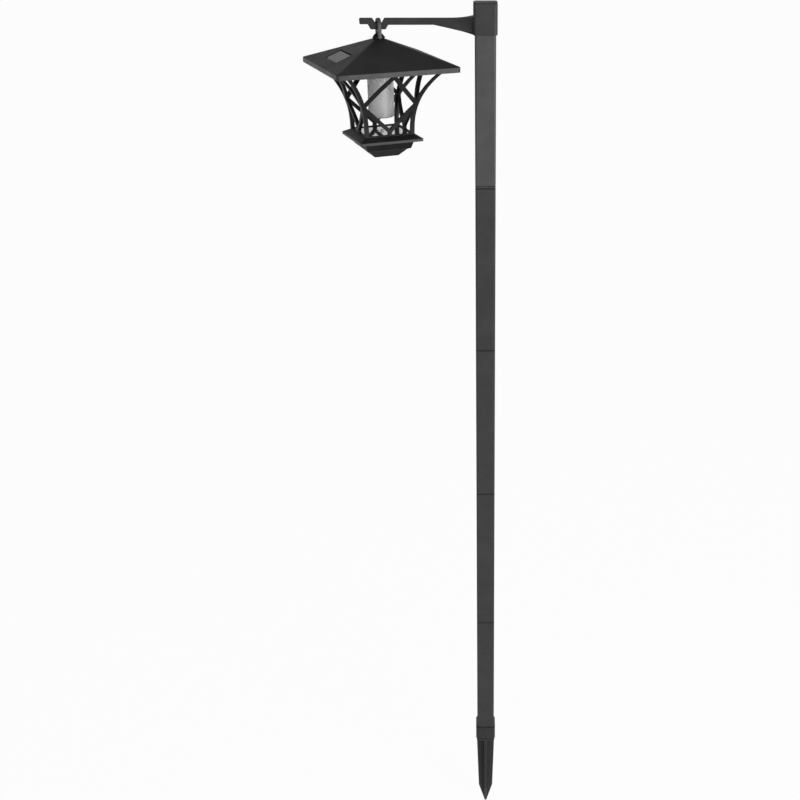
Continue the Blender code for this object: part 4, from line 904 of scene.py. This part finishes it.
def ease(start, end):
    """Points on an S-shaped step from one place to another, both ends included."""
    points = []
    for step in range(CURVE_STEPS + 1):
        along = step / CURVE_STEPS
        across = (1 - math.cos(math.pi * along)) / 2
        points.append((start[0] + along * (end[0] - start[0]), start[1] + across * (end[1] - start[1])))
    return points


def arm_outline():
    """The arm's side view in x and z, from the collar out along its top and back along its underside."""
    root = -COLLAR_SIDE / 4
    face = -COLLAR_SIDE / 2
    low = COLLAR_LOW + GUSSET_LIFT
    arm_top = COLLAR_TOP - ARM_DROP
    underside = arm_top - ARM_HEIGHT
    outer = arm_top - ARM_TIP_HEIGHT
    saddle = arm_top - SADDLE_DEPTH
    notch_z = arm_top - NOTCH_DEPTH
    top = [(root, arm_top + ARM_FLARE)]
    gusset = []
    for step in range(CURVE_STEPS + 1):
        along = step / CURVE_STEPS
        top.append((face - along * ARM_FLARE_LENGTH, arm_top + ARM_FLARE * (1 - along) ** 2))
        fall = (low - underside) * along ** GUSSET_POWER
        gusset.append((face - (1 - along) * GUSSET_LENGTH, underside + fall))
    notch = [
        (AXIS_X + NOTCH_MOUTH / 2, arm_top),
        (AXIS_X + NOTCH_FLOOR / 2, notch_z),
        (AXIS_X - NOTCH_FLOOR / 2, notch_z),
        (AXIS_X - NOTCH_MOUTH / 2, arm_top),
    ]
    tip = [(AXIS_X - ARM_TIP, arm_top), (AXIS_X - ARM_TIP + ARM_RAKE, outer)]
    dip = ease((AXIS_X - SADDLE_SHOULDER / 2, outer), (AXIS_X - SADDLE_BASE / 2, saddle))
    rise = ease((AXIS_X + SADDLE_BASE / 2, saddle), (AXIS_X + SADDLE_SHOULDER / 2, underside))
    return fillet(top + notch + tip + dip + rise + gusset + [(root, low)], ARM_CORNER)


def make_bracket():
    """The collar on the post's top and the notched arm, in one moulding."""
    socket = POLE_SIDE + 2 * SOCKET_FIT
    corner = POLE_CORNER + COLLAR_WALL
    foot = (COLLAR_SIDE, corner, COLLAR_LOW)
    head = (COLLAR_SIDE, corner, COLLAR_TOP)
    rim = (COLLAR_SIDE - 4 * COLLAR_RIM, corner - 2 * COLLAR_RIM, COLLAR_LOW)
    collar = square_loft([
        *bend(rim, foot, head, COLLAR_RIM),
        *bend(foot, head, (COLLAR_SIDE / 2, corner / 2, COLLAR_TOP), COLLAR_EDGE, steps=8),
    ])
    arm = upright(plate([arm_outline()], ARM_THICK, ARM_BEVEL))
    face = -COLLAR_SIDE / 2
    for vertex in arm.vertices:
        near = min(max((vertex.co.x - face) / ARM_SPREAD_LENGTH + 1.0, 0.0), 1.0)
        vertex.co.y *= 1.0 + 2 * ARM_SPREAD / ARM_THICK * near ** ARM_SPREAD_POWER
    well = square_loft([
        (socket, POLE_CORNER + SOCKET_FIT, COLLAR_LOW - COLLAR_EDGE),
        (socket, POLE_CORNER + SOCKET_FIT, COLLAR_TOP - COLLAR_ROOF),
    ])
    mesh = cut(joined(collar, arm), well)
    piece("arm_and_collar", mesh, "pole", BRACKET, "post_plastic", "arm_bracket")


# Hanger

def make_bail():
    """A strap bent over the arm, with an eye and a stub pin at each end."""
    outer = BAIL_RADIUS + BAIL_THICK
    arch = [math.pi * step / (2 * CURVE_STEPS) for step in range(2 * CURVE_STEPS + 1)]
    outline = [(outer * math.cos(angle), outer * math.sin(angle)) for angle in arch]
    outline += [(-outer, -BAIL_LEG), (-BAIL_RADIUS, -BAIL_LEG)]
    outline += [(BAIL_RADIUS * math.cos(angle), BAIL_RADIUS * math.sin(angle)) for angle in reversed(arch)]
    outline += [(BAIL_RADIUS, -BAIL_LEG), (outer, -BAIL_LEG)]
    strap = moved(upright(plate([outline], BAIL_WIDTH, BAIL_BEVEL)), turn(90, "Z"))
    half = BAIL_THICK / 2
    middle = BAIL_RADIUS + half
    reach = PIN_LENGTH + half
    upper = [
        (0.0, half),
        (EYE_RADIUS - EYE_RIM, half),
        (EYE_RADIUS - EYE_EASE, half - EYE_EASE),
        (EYE_RADIUS, half - EYE_RIM),
    ]
    lower = [(radius, -height) for radius, height in reversed(upper)]
    for side in (1, -1):
        eye = turned(upper + lower)
        pin = cylinder(PIN_RADIUS, -reach / 2, reach / 2, PIN_STEPS)
        for part, distance in ((eye, middle), (pin, middle - reach / 2)):
            place = shift(0.0, side * distance, -BAIL_LEG) @ turn(90, "X")
            strap = joined(strap, moved(part, place))
    strap = moved(strap, HANGER @ shift(0.0, 0.0, BAIL_ARCH_Z))
    piece("bail_strap", strap, "bail", STRAP, "post_plastic", "hanger_bail")


def make_hub():
    """The turned cone on the roof, with a flat and a pin hole on each side."""
    stem = APEX_THICK + 2 * GAP
    mesh = turned(fillet([
        (0.0, HUB_HEIGHT),
        (HUB_TOP_RADIUS - HUB_EDGE, HUB_HEIGHT),
        (HUB_TOP_RADIUS, HUB_HEIGHT - HUB_EDGE),
        (HUB_RADIUS, HUB_WAIST),
        (HUB_RADIUS, HUB_WAIST - HUB_EDGE),
        (HUB_BASE_RADIUS, 0.0),
        (HUB_STEM_RADIUS, 0.0),
        (HUB_STEM_RADIUS, -stem),
        (0.0, -stem),
    ], HUB_ROUND, closed=False))
    flat = BAIL_RADIUS - GAP
    for side in (1, -1):
        middle = side * (flat + HUB_RADIUS / 2)
        mesh = cut(mesh, box((4 * HUB_RADIUS, HUB_RADIUS, 2 * HUB_HEIGHT), (0.0, middle, HUB_HEIGHT)))
    hole = cylinder(PIN_RADIUS + GAP, -2 * HUB_RADIUS, 2 * HUB_RADIUS, PIN_STEPS)
    mesh = cut(mesh, moved(hole, shift(0.0, 0.0, HUB_PIN_HEIGHT) @ turn(90, "X")))
    mesh = moved(mesh, HANGER @ shift(0.0, 0.0, HUB_Z))
    piece("hub_cone", mesh, "hub", MATT, "lantern_plastic", "finial_hub")


# Roof

def roof_inside(distance):
    """Height of the roof's inner face at a distance from the lantern's axis, square to a side."""
    return -(distance - APEX_SIDE / 2) * math.tan(ROOF_SLOPE) - ROOF_WALL / math.cos(ROOF_SLOPE)


def make_roof():
    """The pyramid roof with its rounded fascia and the panel's sunk pocket."""
    inside = ROOF_SIDE - 2 * ROOF_WALL
    thin = max(ROOF_CORNER - ROOF_WALL, ROOF_EDGE)
    eave = -ROOF_RISE - ROOF_FASCIA
    ceiling = APEX_SIDE / 2 + (APEX_THICK - ROOF_WALL / math.cos(ROOF_SLOPE)) / math.tan(ROOF_SLOPE)
    apex = (APEX_SIDE, ROOF_CORNER, 0.0)
    brow = (ROOF_SIDE, ROOF_CORNER, -ROOF_RISE)
    drip = (ROOF_SIDE, ROOF_CORNER, eave)
    lip = (inside, thin, eave)
    throat = (inside, thin, roof_inside(inside / 2))
    mesh = square_loft([
        *bend((APEX_SIDE / 2, ROOF_CORNER / 2, 0.0), apex, brow, APEX_ROUND),
        *bend(apex, brow, drip, BROW_ROUND, steps=6),
        *bend(brow, drip, lip, DRIP_ROUND),
        *bend(drip, lip, throat, LIP_ROUND),
        throat,
        (2 * ceiling, thin, -APEX_THICK),
    ])
    mesh = moved(mesh, LANTERN)
    long_side = PANEL_LONG + 2 * GAP
    short_side = PANEL_SHORT + 2 * GAP
    deep = PANEL_POCKET + TRAY_FLOOR
    sunk = ROOF_WALL / 2
    tray = box((short_side + 2 * TRAY_WALL, long_side + 2 * TRAY_WALL, deep - sunk),
               (0.0, 0.0, -(deep + sunk) / 2))
    mesh = joined(mesh, moved(tray, SLOPE))
    pocket = plate([rounded_rectangle(short_side, long_side, PANEL_CORNER)], 2 * PANEL_POCKET)
    mesh = cut(mesh, moved(pocket, SLOPE))
    mesh = cut(mesh, moved(cylinder(HUB_STEM_RADIUS + GAP, -2 * APEX_THICK, APEX_THICK), LANTERN))
    piece("roof_cover", mesh, "lantern", SHELL, "lantern_plastic", "roof_shell")


def make_panel():
    """The cell board in its pocket: a resin slab with silicon strips and tinned busbars.

    It stands off the pocket's upper wall by a slit, which shows as a dark line.
    """
    top = -PANEL_SINK
    short_side = PANEL_SHORT - PANEL_SLIT
    thick = PANEL_THICK - CELL_THICK
    slab = plate([rounded_rectangle(short_side, PANEL_LONG, PANEL_CORNER)], thick, FINE_ROUND)
    slab = moved(slab, shift(0.0, 0.0, top - CELL_THICK - thick / 2))
    width = short_side - 2 * PANEL_MARGIN
    length = PANEL_LONG - 2 * PANEL_MARGIN
    pitch = (length + CELL_GAP) / CELL_COUNT
    strip = rounded_rectangle(width, pitch - CELL_GAP, FINE_ROUND, steps=3)
    cells = []
    for index in range(CELL_COUNT):
        middle = (index - (CELL_COUNT - 1) / 2) * pitch
        cells.append(moved(plate([strip], CELL_THICK), shift(0.0, middle, top - CELL_THICK / 2)))
    bars = [box((BUSBAR_WIDTH, length, BUSBAR_THICK), (share * width, 0.0, top))
            for share in BUSBAR_PLACES]
    bm = bmesh.new()
    for slot, group in enumerate(([slab], cells, bars)):
        start = len(bm.faces)
        for mesh in group:
            bm.from_mesh(mesh)
        bm.faces.ensure_lookup_table()
        for face in bm.faces[start:]:
            face.material_index = slot
    panel = as_mesh("panel", bm)
    for paint in (RESIN, SILICON, TIN):
        panel.materials.append(paint)
    panel = moved(panel, SLOPE @ shift(-PANEL_SLIT / 2, 0.0, 0.0))
    piece("cell_panel", panel, "lantern", None, "panel_glass", "solar_panel")


def make_soffit():
    """The plate that closes the roof from below."""
    mesh = softened("soffit_plate", FINE_ROUND)
    piece("soffit_board", mesh, "lantern", SHELL, "lantern_plastic", "soffit_plate")


# Cage

def cage_half(height):
    """Half the width over the posts at a height above the cage's bottom."""
    return CAGE_BASE + (CAGE_TOP - CAGE_BASE) * (max(height, 0.0) / CAGE_HEIGHT) ** CAGE_FLARE


def post_edge(height):
    """Where a post's inner side stands in front view."""
    return cage_half(height) - CAGE_POST


def meeting_height(foot, slope, low, high):
    """Height between low and high where a line x = foot + slope * height meets the post's inner side."""
    for _ in range(BISECTIONS):
        middle = (low + high) / 2
        before = foot + slope * low - post_edge(low)
        if before * (foot + slope * middle - post_edge(middle)) > 0:
            low = middle
        else:
            high = middle
    return (low + high) / 2


def along_post(start, end):
    """Points on the post's inner side from one height to another, both ends included."""
    heights = [start + (end - start) * step / CURVE_STEPS for step in range(CURVE_STEPS + 1)]
    return [(post_edge(height), height) for height in heights]


def cage_windows():
    """The five openings of one side in front view: the diamond and the corners round it."""
    peak = CAGE_HEIGHT - CAGE_PEAK
    side = cage_half(CAGE_MIDDLE) - CAGE_POST / 2
    upper = -side / (peak - CAGE_MIDDLE)
    lower = side / (CAGE_MIDDLE - CAGE_FOOT)
    half_upper = CAGE_BAR / 2 * math.hypot(1.0, upper)
    half_lower = CAGE_BAR / 2 * math.hypot(1.0, lower)
    upper_foot = -upper * peak
    lower_foot = -lower * CAGE_FOOT
    inner_peak = (half_upper - upper_foot) / upper
    inner_foot = (half_lower - lower_foot) / lower
    meet = (lower_foot - half_lower - upper_foot + half_upper) / (upper - lower)
    reach = lower_foot - half_lower + lower * meet
    diamond = [(0.0, inner_peak), (reach, meet), (0.0, inner_foot), (-reach, meet)]
    top = CAGE_HEIGHT - CAGE_FRAME
    crotch = meeting_height(upper_foot + half_upper, upper, CAGE_MIDDLE, top)
    crown = top - CAGE_CROWN
    above = [(upper_foot + half_upper + upper * crown, crown), *along_post(top, crotch)]
    dip = meeting_height(lower_foot + half_lower, lower, CAGE_RING, CAGE_MIDDLE)
    stub = CAGE_BAR / 2
    below = [(stub, (stub - lower_foot - half_lower) / lower), (stub, CAGE_RING),
             *along_post(CAGE_RING, dip)]
    windows = [fillet(diamond, CAGE_FILLET)]
    for outline in (above, below):
        rounded = fillet(outline, CAGE_FILLET)
        windows.append(rounded)
        windows.append([(-x, y) for x, y in rounded])
    return windows


def cage_side():
    """One flared side with mitred edges, left open where it meets its neighbours."""
    heights = [CAGE_HEIGHT * (step / CAGE_LEVELS) ** CAGE_LEVEL_POWER for step in range(CAGE_LEVELS + 1)]
    right = [(cage_half(height), height) for height in heights]
    left = [(-x, height) for x, height in reversed(right)]
    bm = bmesh.new()
    bm.from_mesh(upright(plate([right + left, *cage_windows()], CAGE_THICK)))
    bmesh.ops.dissolve_limit(bm, angle_limit=math.radians(0.5), verts=[], edges=bm.edges)
    for height in heights[1:-1]:
        bmesh.ops.bisect_plane(bm, geom=[*bm.verts, *bm.edges, *bm.faces], dist=TOUCH,
                               plane_co=(0.0, 0.0, height), plane_no=(0.0, 0.0, 1.0))
    mitre = set()
    for vert in bm.verts:
        half = cage_half(vert.co.z)
        on_edge = abs(abs(vert.co.x) - half) < MITRE
        if vert.co.y > 0:
            half -= CAGE_THICK
        vert.co.y = -half
        if on_edge:
            vert.co.x = math.copysign(half, vert.co.x)
            mitre.add(vert)
    ends = [face for face in bm.faces
            if mitre.issuperset(face.verts) and abs(face.calc_center_median().x) > CAGE_BASE / 2]
    bmesh.ops.delete(bm, geom=ends, context="FACES")
    return bm


def make_cage():
    """Four flared lattice sides in one moulding with softened edges, and the flange under the soffit."""
    bottom = below_roof("cage")[1] - CAGE_HEIGHT
    whole = bmesh.new()
    for quarter in range(4):
        side = cage_side()
        side.transform(turn(90 * quarter, "Z"))
        whole.from_mesh(as_mesh("side", side))
    bmesh.ops.remove_doubles(whole, verts=whole.verts, dist=MITRE)
    lattice = bevelled(finish_mesh("cage", whole), CAGE_ROUND, 3, clamp=False)
    outside = 2 * (cage_half(CAGE_HEIGHT - CAGE_FRAME) - CAGE_THICK / 2)
    opening = 2 * (CAGE_TOP - CAGE_THICK - CAGE_FLANGE)
    level = CAGE_HEIGHT - CAGE_FRAME / 2
    low = level - CAGE_FLANGE_THICK / 2
    high = level + CAGE_FLANGE_THICK / 2
    flange = square_loft([
        (outside, ROOF_EDGE, low),
        (outside, ROOF_EDGE, high),
        (opening, ROOF_CORNER, high),
        (opening, ROOF_CORNER, low),
    ], FINE_ROUND, ring=True)
    mesh = moved(gathered(lattice, flange), LANTERN @ shift(0.0, 0.0, bottom))
    piece("cage_lattice", mesh, "lantern", LATTICE, "cage_plastic", "cage")


# Base

def make_base():
    """The sloped plate under the cage and the stepped foot below it."""
    low, high = below_roof("base_plate")
    rim = 2 * CAGE_BASE + 2 * GAP
    spigot = FOOT_LEDGE + 2 * GAP
    tray = square_loft([
        (spigot, BASE_CORNER, high - BASE_TOP_WALL),
        (spigot, BASE_CORNER, low),
        (BASE_SIDE, BASE_CORNER, low),
        (BASE_SIDE, BASE_CORNER, low + BASE_EDGE),
        (rim, BASE_CORNER, high),
        (rim / 2, BASE_CORNER, high),
    ], EDGE_ROUND)
    piece("base_tray", moved(tray, LANTERN), "lantern", SHELL, "lantern_plastic", "base_plate")
    sole = below_roof("stepped_foot")[0]
    top = low - GAP
    step = top - FOOT_UPPER
    foot = square_loft([
        (FOOT_SOLE / 2, BASE_CORNER, sole),
        (FOOT_SOLE, BASE_CORNER, sole),
        (FOOT_LEDGE, BASE_CORNER, step - FOOT_TREAD),
        (FOOT_STEP, BASE_CORNER, step),
        (FOOT_TOP, BASE_CORNER, top),
        (FOOT_LEDGE, BASE_CORNER, top),
        (FOOT_LEDGE, BASE_CORNER, top + FOOT_SPIGOT),
    ], EDGE_ROUND)
    piece("foot_steps", moved(foot, LANTERN), "lantern", MATT, "lantern_plastic", "stepped_foot")


def sheet_height(x, y):
    """Relief of the mirror sheet: a pressed ring round its screw and a slight buckle."""
    ring = math.exp(-((math.hypot(x, y) - SHEET_RING) / SHEET_RING_WIDTH) ** 2)
    buckle = math.sin(95.0 * x + 1.3) * math.sin(120.0 * y + 0.4) + 0.5 * math.sin(260.0 * (x + y))
    return SHEET_RING_RISE * ring + SHEET_BUCKLE * buckle


def make_sheet():
    """The polished sheet on the cage's floor."""
    low, top = below_roof("floor_reflector")
    bm = bmesh.new()
    rows = []
    for row in range(SHEET_CELLS + 1):
        line = []
        for column in range(SHEET_CELLS + 1):
            x = (column / SHEET_CELLS - 0.5) * SHEET_SIDE
            y = (row / SHEET_CELLS - 0.5) * SHEET_SIDE
            line.append(bm.verts.new((x, y, top - SHEET_SINK + sheet_height(x, y))))
        rows.append(line)
    for near, far in zip(rows, rows[1:]):
        for index in range(SHEET_CELLS):
            bm.faces.new((near[index], near[index + 1], far[index + 1], far[index]))
    edge = [*rows[0], *(row[-1] for row in rows[1:]), *reversed(rows[-1][:-1]),
            *(row[0] for row in reversed(rows[1:-1]))]
    under = [bm.verts.new((vert.co.x, vert.co.y, low)) for vert in edge]
    band(bm, edge, under)
    bm.faces.new(under)
    mesh = moved(finish_mesh("sheet", bm), LANTERN)
    piece("mirror_sheet", mesh, "lantern", SILVER, "silver_sheet", "floor_reflector")


# Diffuser

def cup_sections():
    """The cup's loops of (radius, height, wave), up its outside and down its inside.

    The wave is the rise of the lens rows, or None on a plain part.
    """
    bottom, lip_top = below_roof("diffuser")
    lip = lip_top - CUP_FLANGE
    wall_low = bottom + CUP_EDGE
    wall_top = lip - 2 * CUP_EDGE
    inner = CUP_RADIUS - CUP_WALL
    shoulder = CUP_RADIUS - CUP_EDGE
    sections = []
    for ring in range(CUP_RINGS):
        sections.append((ring * CUP_RING_PITCH, bottom + ring % 2 * CUP_RING_RISE, None))
    sections.append((shoulder, bottom, None))
    for step in range(1, EDGE_STEPS):
        angle = math.radians(90) * (1 - step / EDGE_STEPS)
        sections.append((shoulder + CUP_EDGE * math.cos(angle), wall_low - CUP_EDGE * math.sin(angle), None))
    rows = LENS_STEPS * round((wall_top - wall_low) / CUP_PITCH)
    for row in range(rows + 1):
        height = wall_low + (wall_top - wall_low) * row / rows
        sections.append((CUP_RADIUS, height, math.cos(2 * math.pi * row / LENS_STEPS)))
    return sections + [
        (CUP_RADIUS, lip, None),
        (CUP_RADIUS + CUP_LIP, lip, None),
        (CUP_RADIUS + CUP_LIP, lip_top, None),
        (inner, lip_top, None),
        (inner, wall_low, None),
        (inner - CUP_WALL, bottom + CUP_WALL, None),
        (0.0, bottom + CUP_WALL, None),
    ]


def make_cup():
    """The frosted cup, with rows of small lenses moulded round its wall and rings on its bottom."""
    columns = LENS_STEPS * CUP_COLUMNS
    bm = bmesh.new()
    lens = bm.verts.layers.float.new("lens")
    loops = []
    for radius, height, wave in cup_sections():
        if radius == 0.0:
            loops.append([bm.verts.new((0.0, 0.0, height))])
            continue
        loop = []
        for column in range(columns):
            angle = 2 * math.pi * column / columns
            rise = 0.5 if wave is None else 0.5 * wave * math.cos(2 * math.pi * column / LENS_STEPS)
            out = radius - CUP_RELIEF * (0.5 - rise)
            loop.append(bm.verts.new((out * math.cos(angle), out * math.sin(angle), height)))
            # The lens height, which the cup's paint turns into a painted highlight on each crown.
            loop[-1][lens] = 0.5 + rise
        loops.append(loop)
    for below, above in zip(loops, loops[1:]):
        band(bm, below, above)
    mesh = moved(finish_mesh("cup", bm), LANTERN)
    piece("glow_cup", mesh, "lantern", CUP, "frosted_plastic", "diffuser")


# Fasteners and switch

def screw_mesh(shank):
    """A pan-head screw with a cross recess: its head hangs below z = 0 and its shank stands above."""
    profile = [(0.0, shank), (SCREW_RADIUS, shank), (SCREW_RADIUS, 0.0), (SCREW_HEAD_RADIUS, 0.0)]
    for step in range(EDGE_STEPS):
        angle = math.radians(90) * step / EDGE_STEPS
        drop = SCREW_BRIM + (SCREW_HEAD - SCREW_BRIM) * math.sin(angle)
        profile.append((SCREW_HEAD_RADIUS * math.cos(angle), -drop))
    mesh = turned([*profile, (0.0, -SCREW_HEAD)], SCREW_STEPS)
    for degrees in (0, 90):
        slot = box((CROSS_SPAN, CROSS_WIDTH, 2 * CROSS_DEPTH), (0.0, 0.0, -SCREW_HEAD))
        mesh = cut(mesh, moved(slot, turn(degrees, "Z")))
    return mesh


def make_screws():
    """Eight screws driven up into the lantern, and one down into the foot."""
    for kind in ("roof", "cage"):
        for number in range(1, 5):
            node = f"{kind}_screw_{number}"
            low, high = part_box(node)
            middle = (low + high) / 2
            under = low.z + SCREW_HEAD
            place = shift(middle.x, middle.y, under) @ turn(SCREW_TURN * number, "Z")
            mesh = moved(screw_mesh(high.z - under), place)
            piece(f"{kind}_fixing_{number}", mesh, "lantern", STEEL, "steel", node)
    low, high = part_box("foot_screw")
    middle = (low + high) / 2
    under = high.z - SCREW_HEAD
    place = shift(middle.x, middle.y, under) @ turn(180, "X") @ turn(FOOT_SCREW_TURN, "Z")
    mesh = moved(screw_mesh(under - low.z), place)
    piece("foot_fixing", mesh, "lantern", STEEL, "steel", "foot_screw")


def make_knob():
    """The switch's sliding knob with grip ribs across its end."""
    mesh = softened("switch_knob", KNOB_ROUND)
    low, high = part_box("switch_knob")
    end = shift((low.x + high.x) / 2, (low.y + high.y) / 2, low.z) @ heading("switch_slide")
    for index in range(KNOB_RIBS - 1):
        place = (index - (KNOB_RIBS - 2) / 2) * KNOB_PITCH
        groove = box((2 * (high.x - low.x), KNOB_GROOVE, 2 * KNOB_GROOVE), (0.0, place, 0.0))
        mesh = cut(mesh, moved(groove, end))
    piece("switch_slider", mesh, "switch", WHITE, "white_plastic", "switch_knob")


def dress_inside():
    """Finish for the nodes that keep their own shape."""
    for obj in NODES.values():
        if obj.hide_render:
            continue
        for holder in obj.material_slots:
            name = holder.material.name
            holder.link = "OBJECT"
            holder.material = INSIDE[name]


# Stage

def make_floor():
    """A pale floor that looks white to the camera and in reflections, apart from a soft shadow."""
    bm = bmesh.new()
    bmesh.ops.create_circle(bm, cap_ends=True, segments=96, radius=FLOOR_RADIUS,
                            matrix=shift(0.0, 0.0, SPIKE_LOW - FLOOR_DROP))
    floor = shown("floor", finish_mesh("floor", bm))
    paint = bpy.data.materials.new("floor_white")
    paint.use_nodes = True
    paint.node_tree.nodes.clear()
    nodes = Nodes(paint.node_tree)
    rays = nodes.node("LightPath").outputs
    seen = rays["Is Camera Ray"]
    for ray in ("Is Glossy Ray", "Is Transmission Ray"):
        seen = nodes.calc("MAXIMUM", seen, rays[ray])
    share = nodes.calc("MULTIPLY", seen, FLOOR_WHITE)
    matt = nodes.node("BsdfDiffuse", {"Color": grey(FLOOR_TONE)}).outputs[0]
    glow = nodes.node("Emission").outputs[0]
    blend = nodes.node("MixShader", {0: share, 1: matt, 2: glow}).outputs[0]
    nodes.node("OutputMaterial", {"Surface": blend})
    floor.data.materials.append(paint)


def make_world():
    """Studio surroundings: brighter low down, darker overhead."""
    world = bpy.data.worlds.new("studio")
    bpy.context.scene.world = world
    world.use_nodes = True
    nodes = Nodes(world.node_tree)
    place = nodes.node("TexCoord").outputs["Generated"]
    rise = nodes.node("SeparateXYZ", {"Vector": place}).outputs["Z"]
    ramp = nodes.node("ValToRGB", {"Fac": nodes.span(rise, -1.0, 1.0)})
    stops = ramp.color_ramp.elements
    while len(stops) < len(WORLD_STOPS):
        stops.new(0.5)
    for stop, (height, level) in zip(stops, WORLD_STOPS):
        stop.position = (height + 1) / 2
        stop.color = grey(level)
    nodes.feed(world.node_tree.nodes["Background"].inputs["Color"], ramp.outputs["Color"])


def make_key():
    """The key lamp, a square softbox that the camera doesn't see."""
    light = bpy.data.lights.new("key", "AREA")
    light.shape = "RECTANGLE"
    light.size = KEY_SIDE
    light.size_y = KEY_SIDE
    light.energy = KEY_LEVEL * math.pi * KEY_SIDE * KEY_SIDE
    lamp = shown("key", light)
    lamp.location = KEY_PLACE
    direction = Vector(KEY_AIM) - lamp.location
    lamp.rotation_euler = direction.to_track_quat("-Z", "Y").to_euler()
    lamp.visible_camera = False


def make_camera():
    """The camera fitted to the photo."""
    data = bpy.data.cameras.new("camera")
    data.sensor_width = CAMERA_SENSOR
    data.lens = CAMERA_LENS
    data.shift_x = CAMERA_SHIFT
    camera = shown("camera", data)
    camera.location = CAMERA_PLACE
    camera.rotation_euler = (math.radians(90 - CAMERA_TILT), 0.0, math.radians(CAMERA_PAN))
    bpy.context.scene.camera = camera


make_camera()
make_world()
make_floor()
make_key()
make_post()
make_spike()
make_bracket()
make_bail()
make_hub()
make_roof()
make_panel()
make_soffit()
make_cage()
make_base()
make_sheet()
make_cup()
make_screws()
make_knob()
dress_inside()
bpy.context.scene.view_settings.view_transform = "Standard"
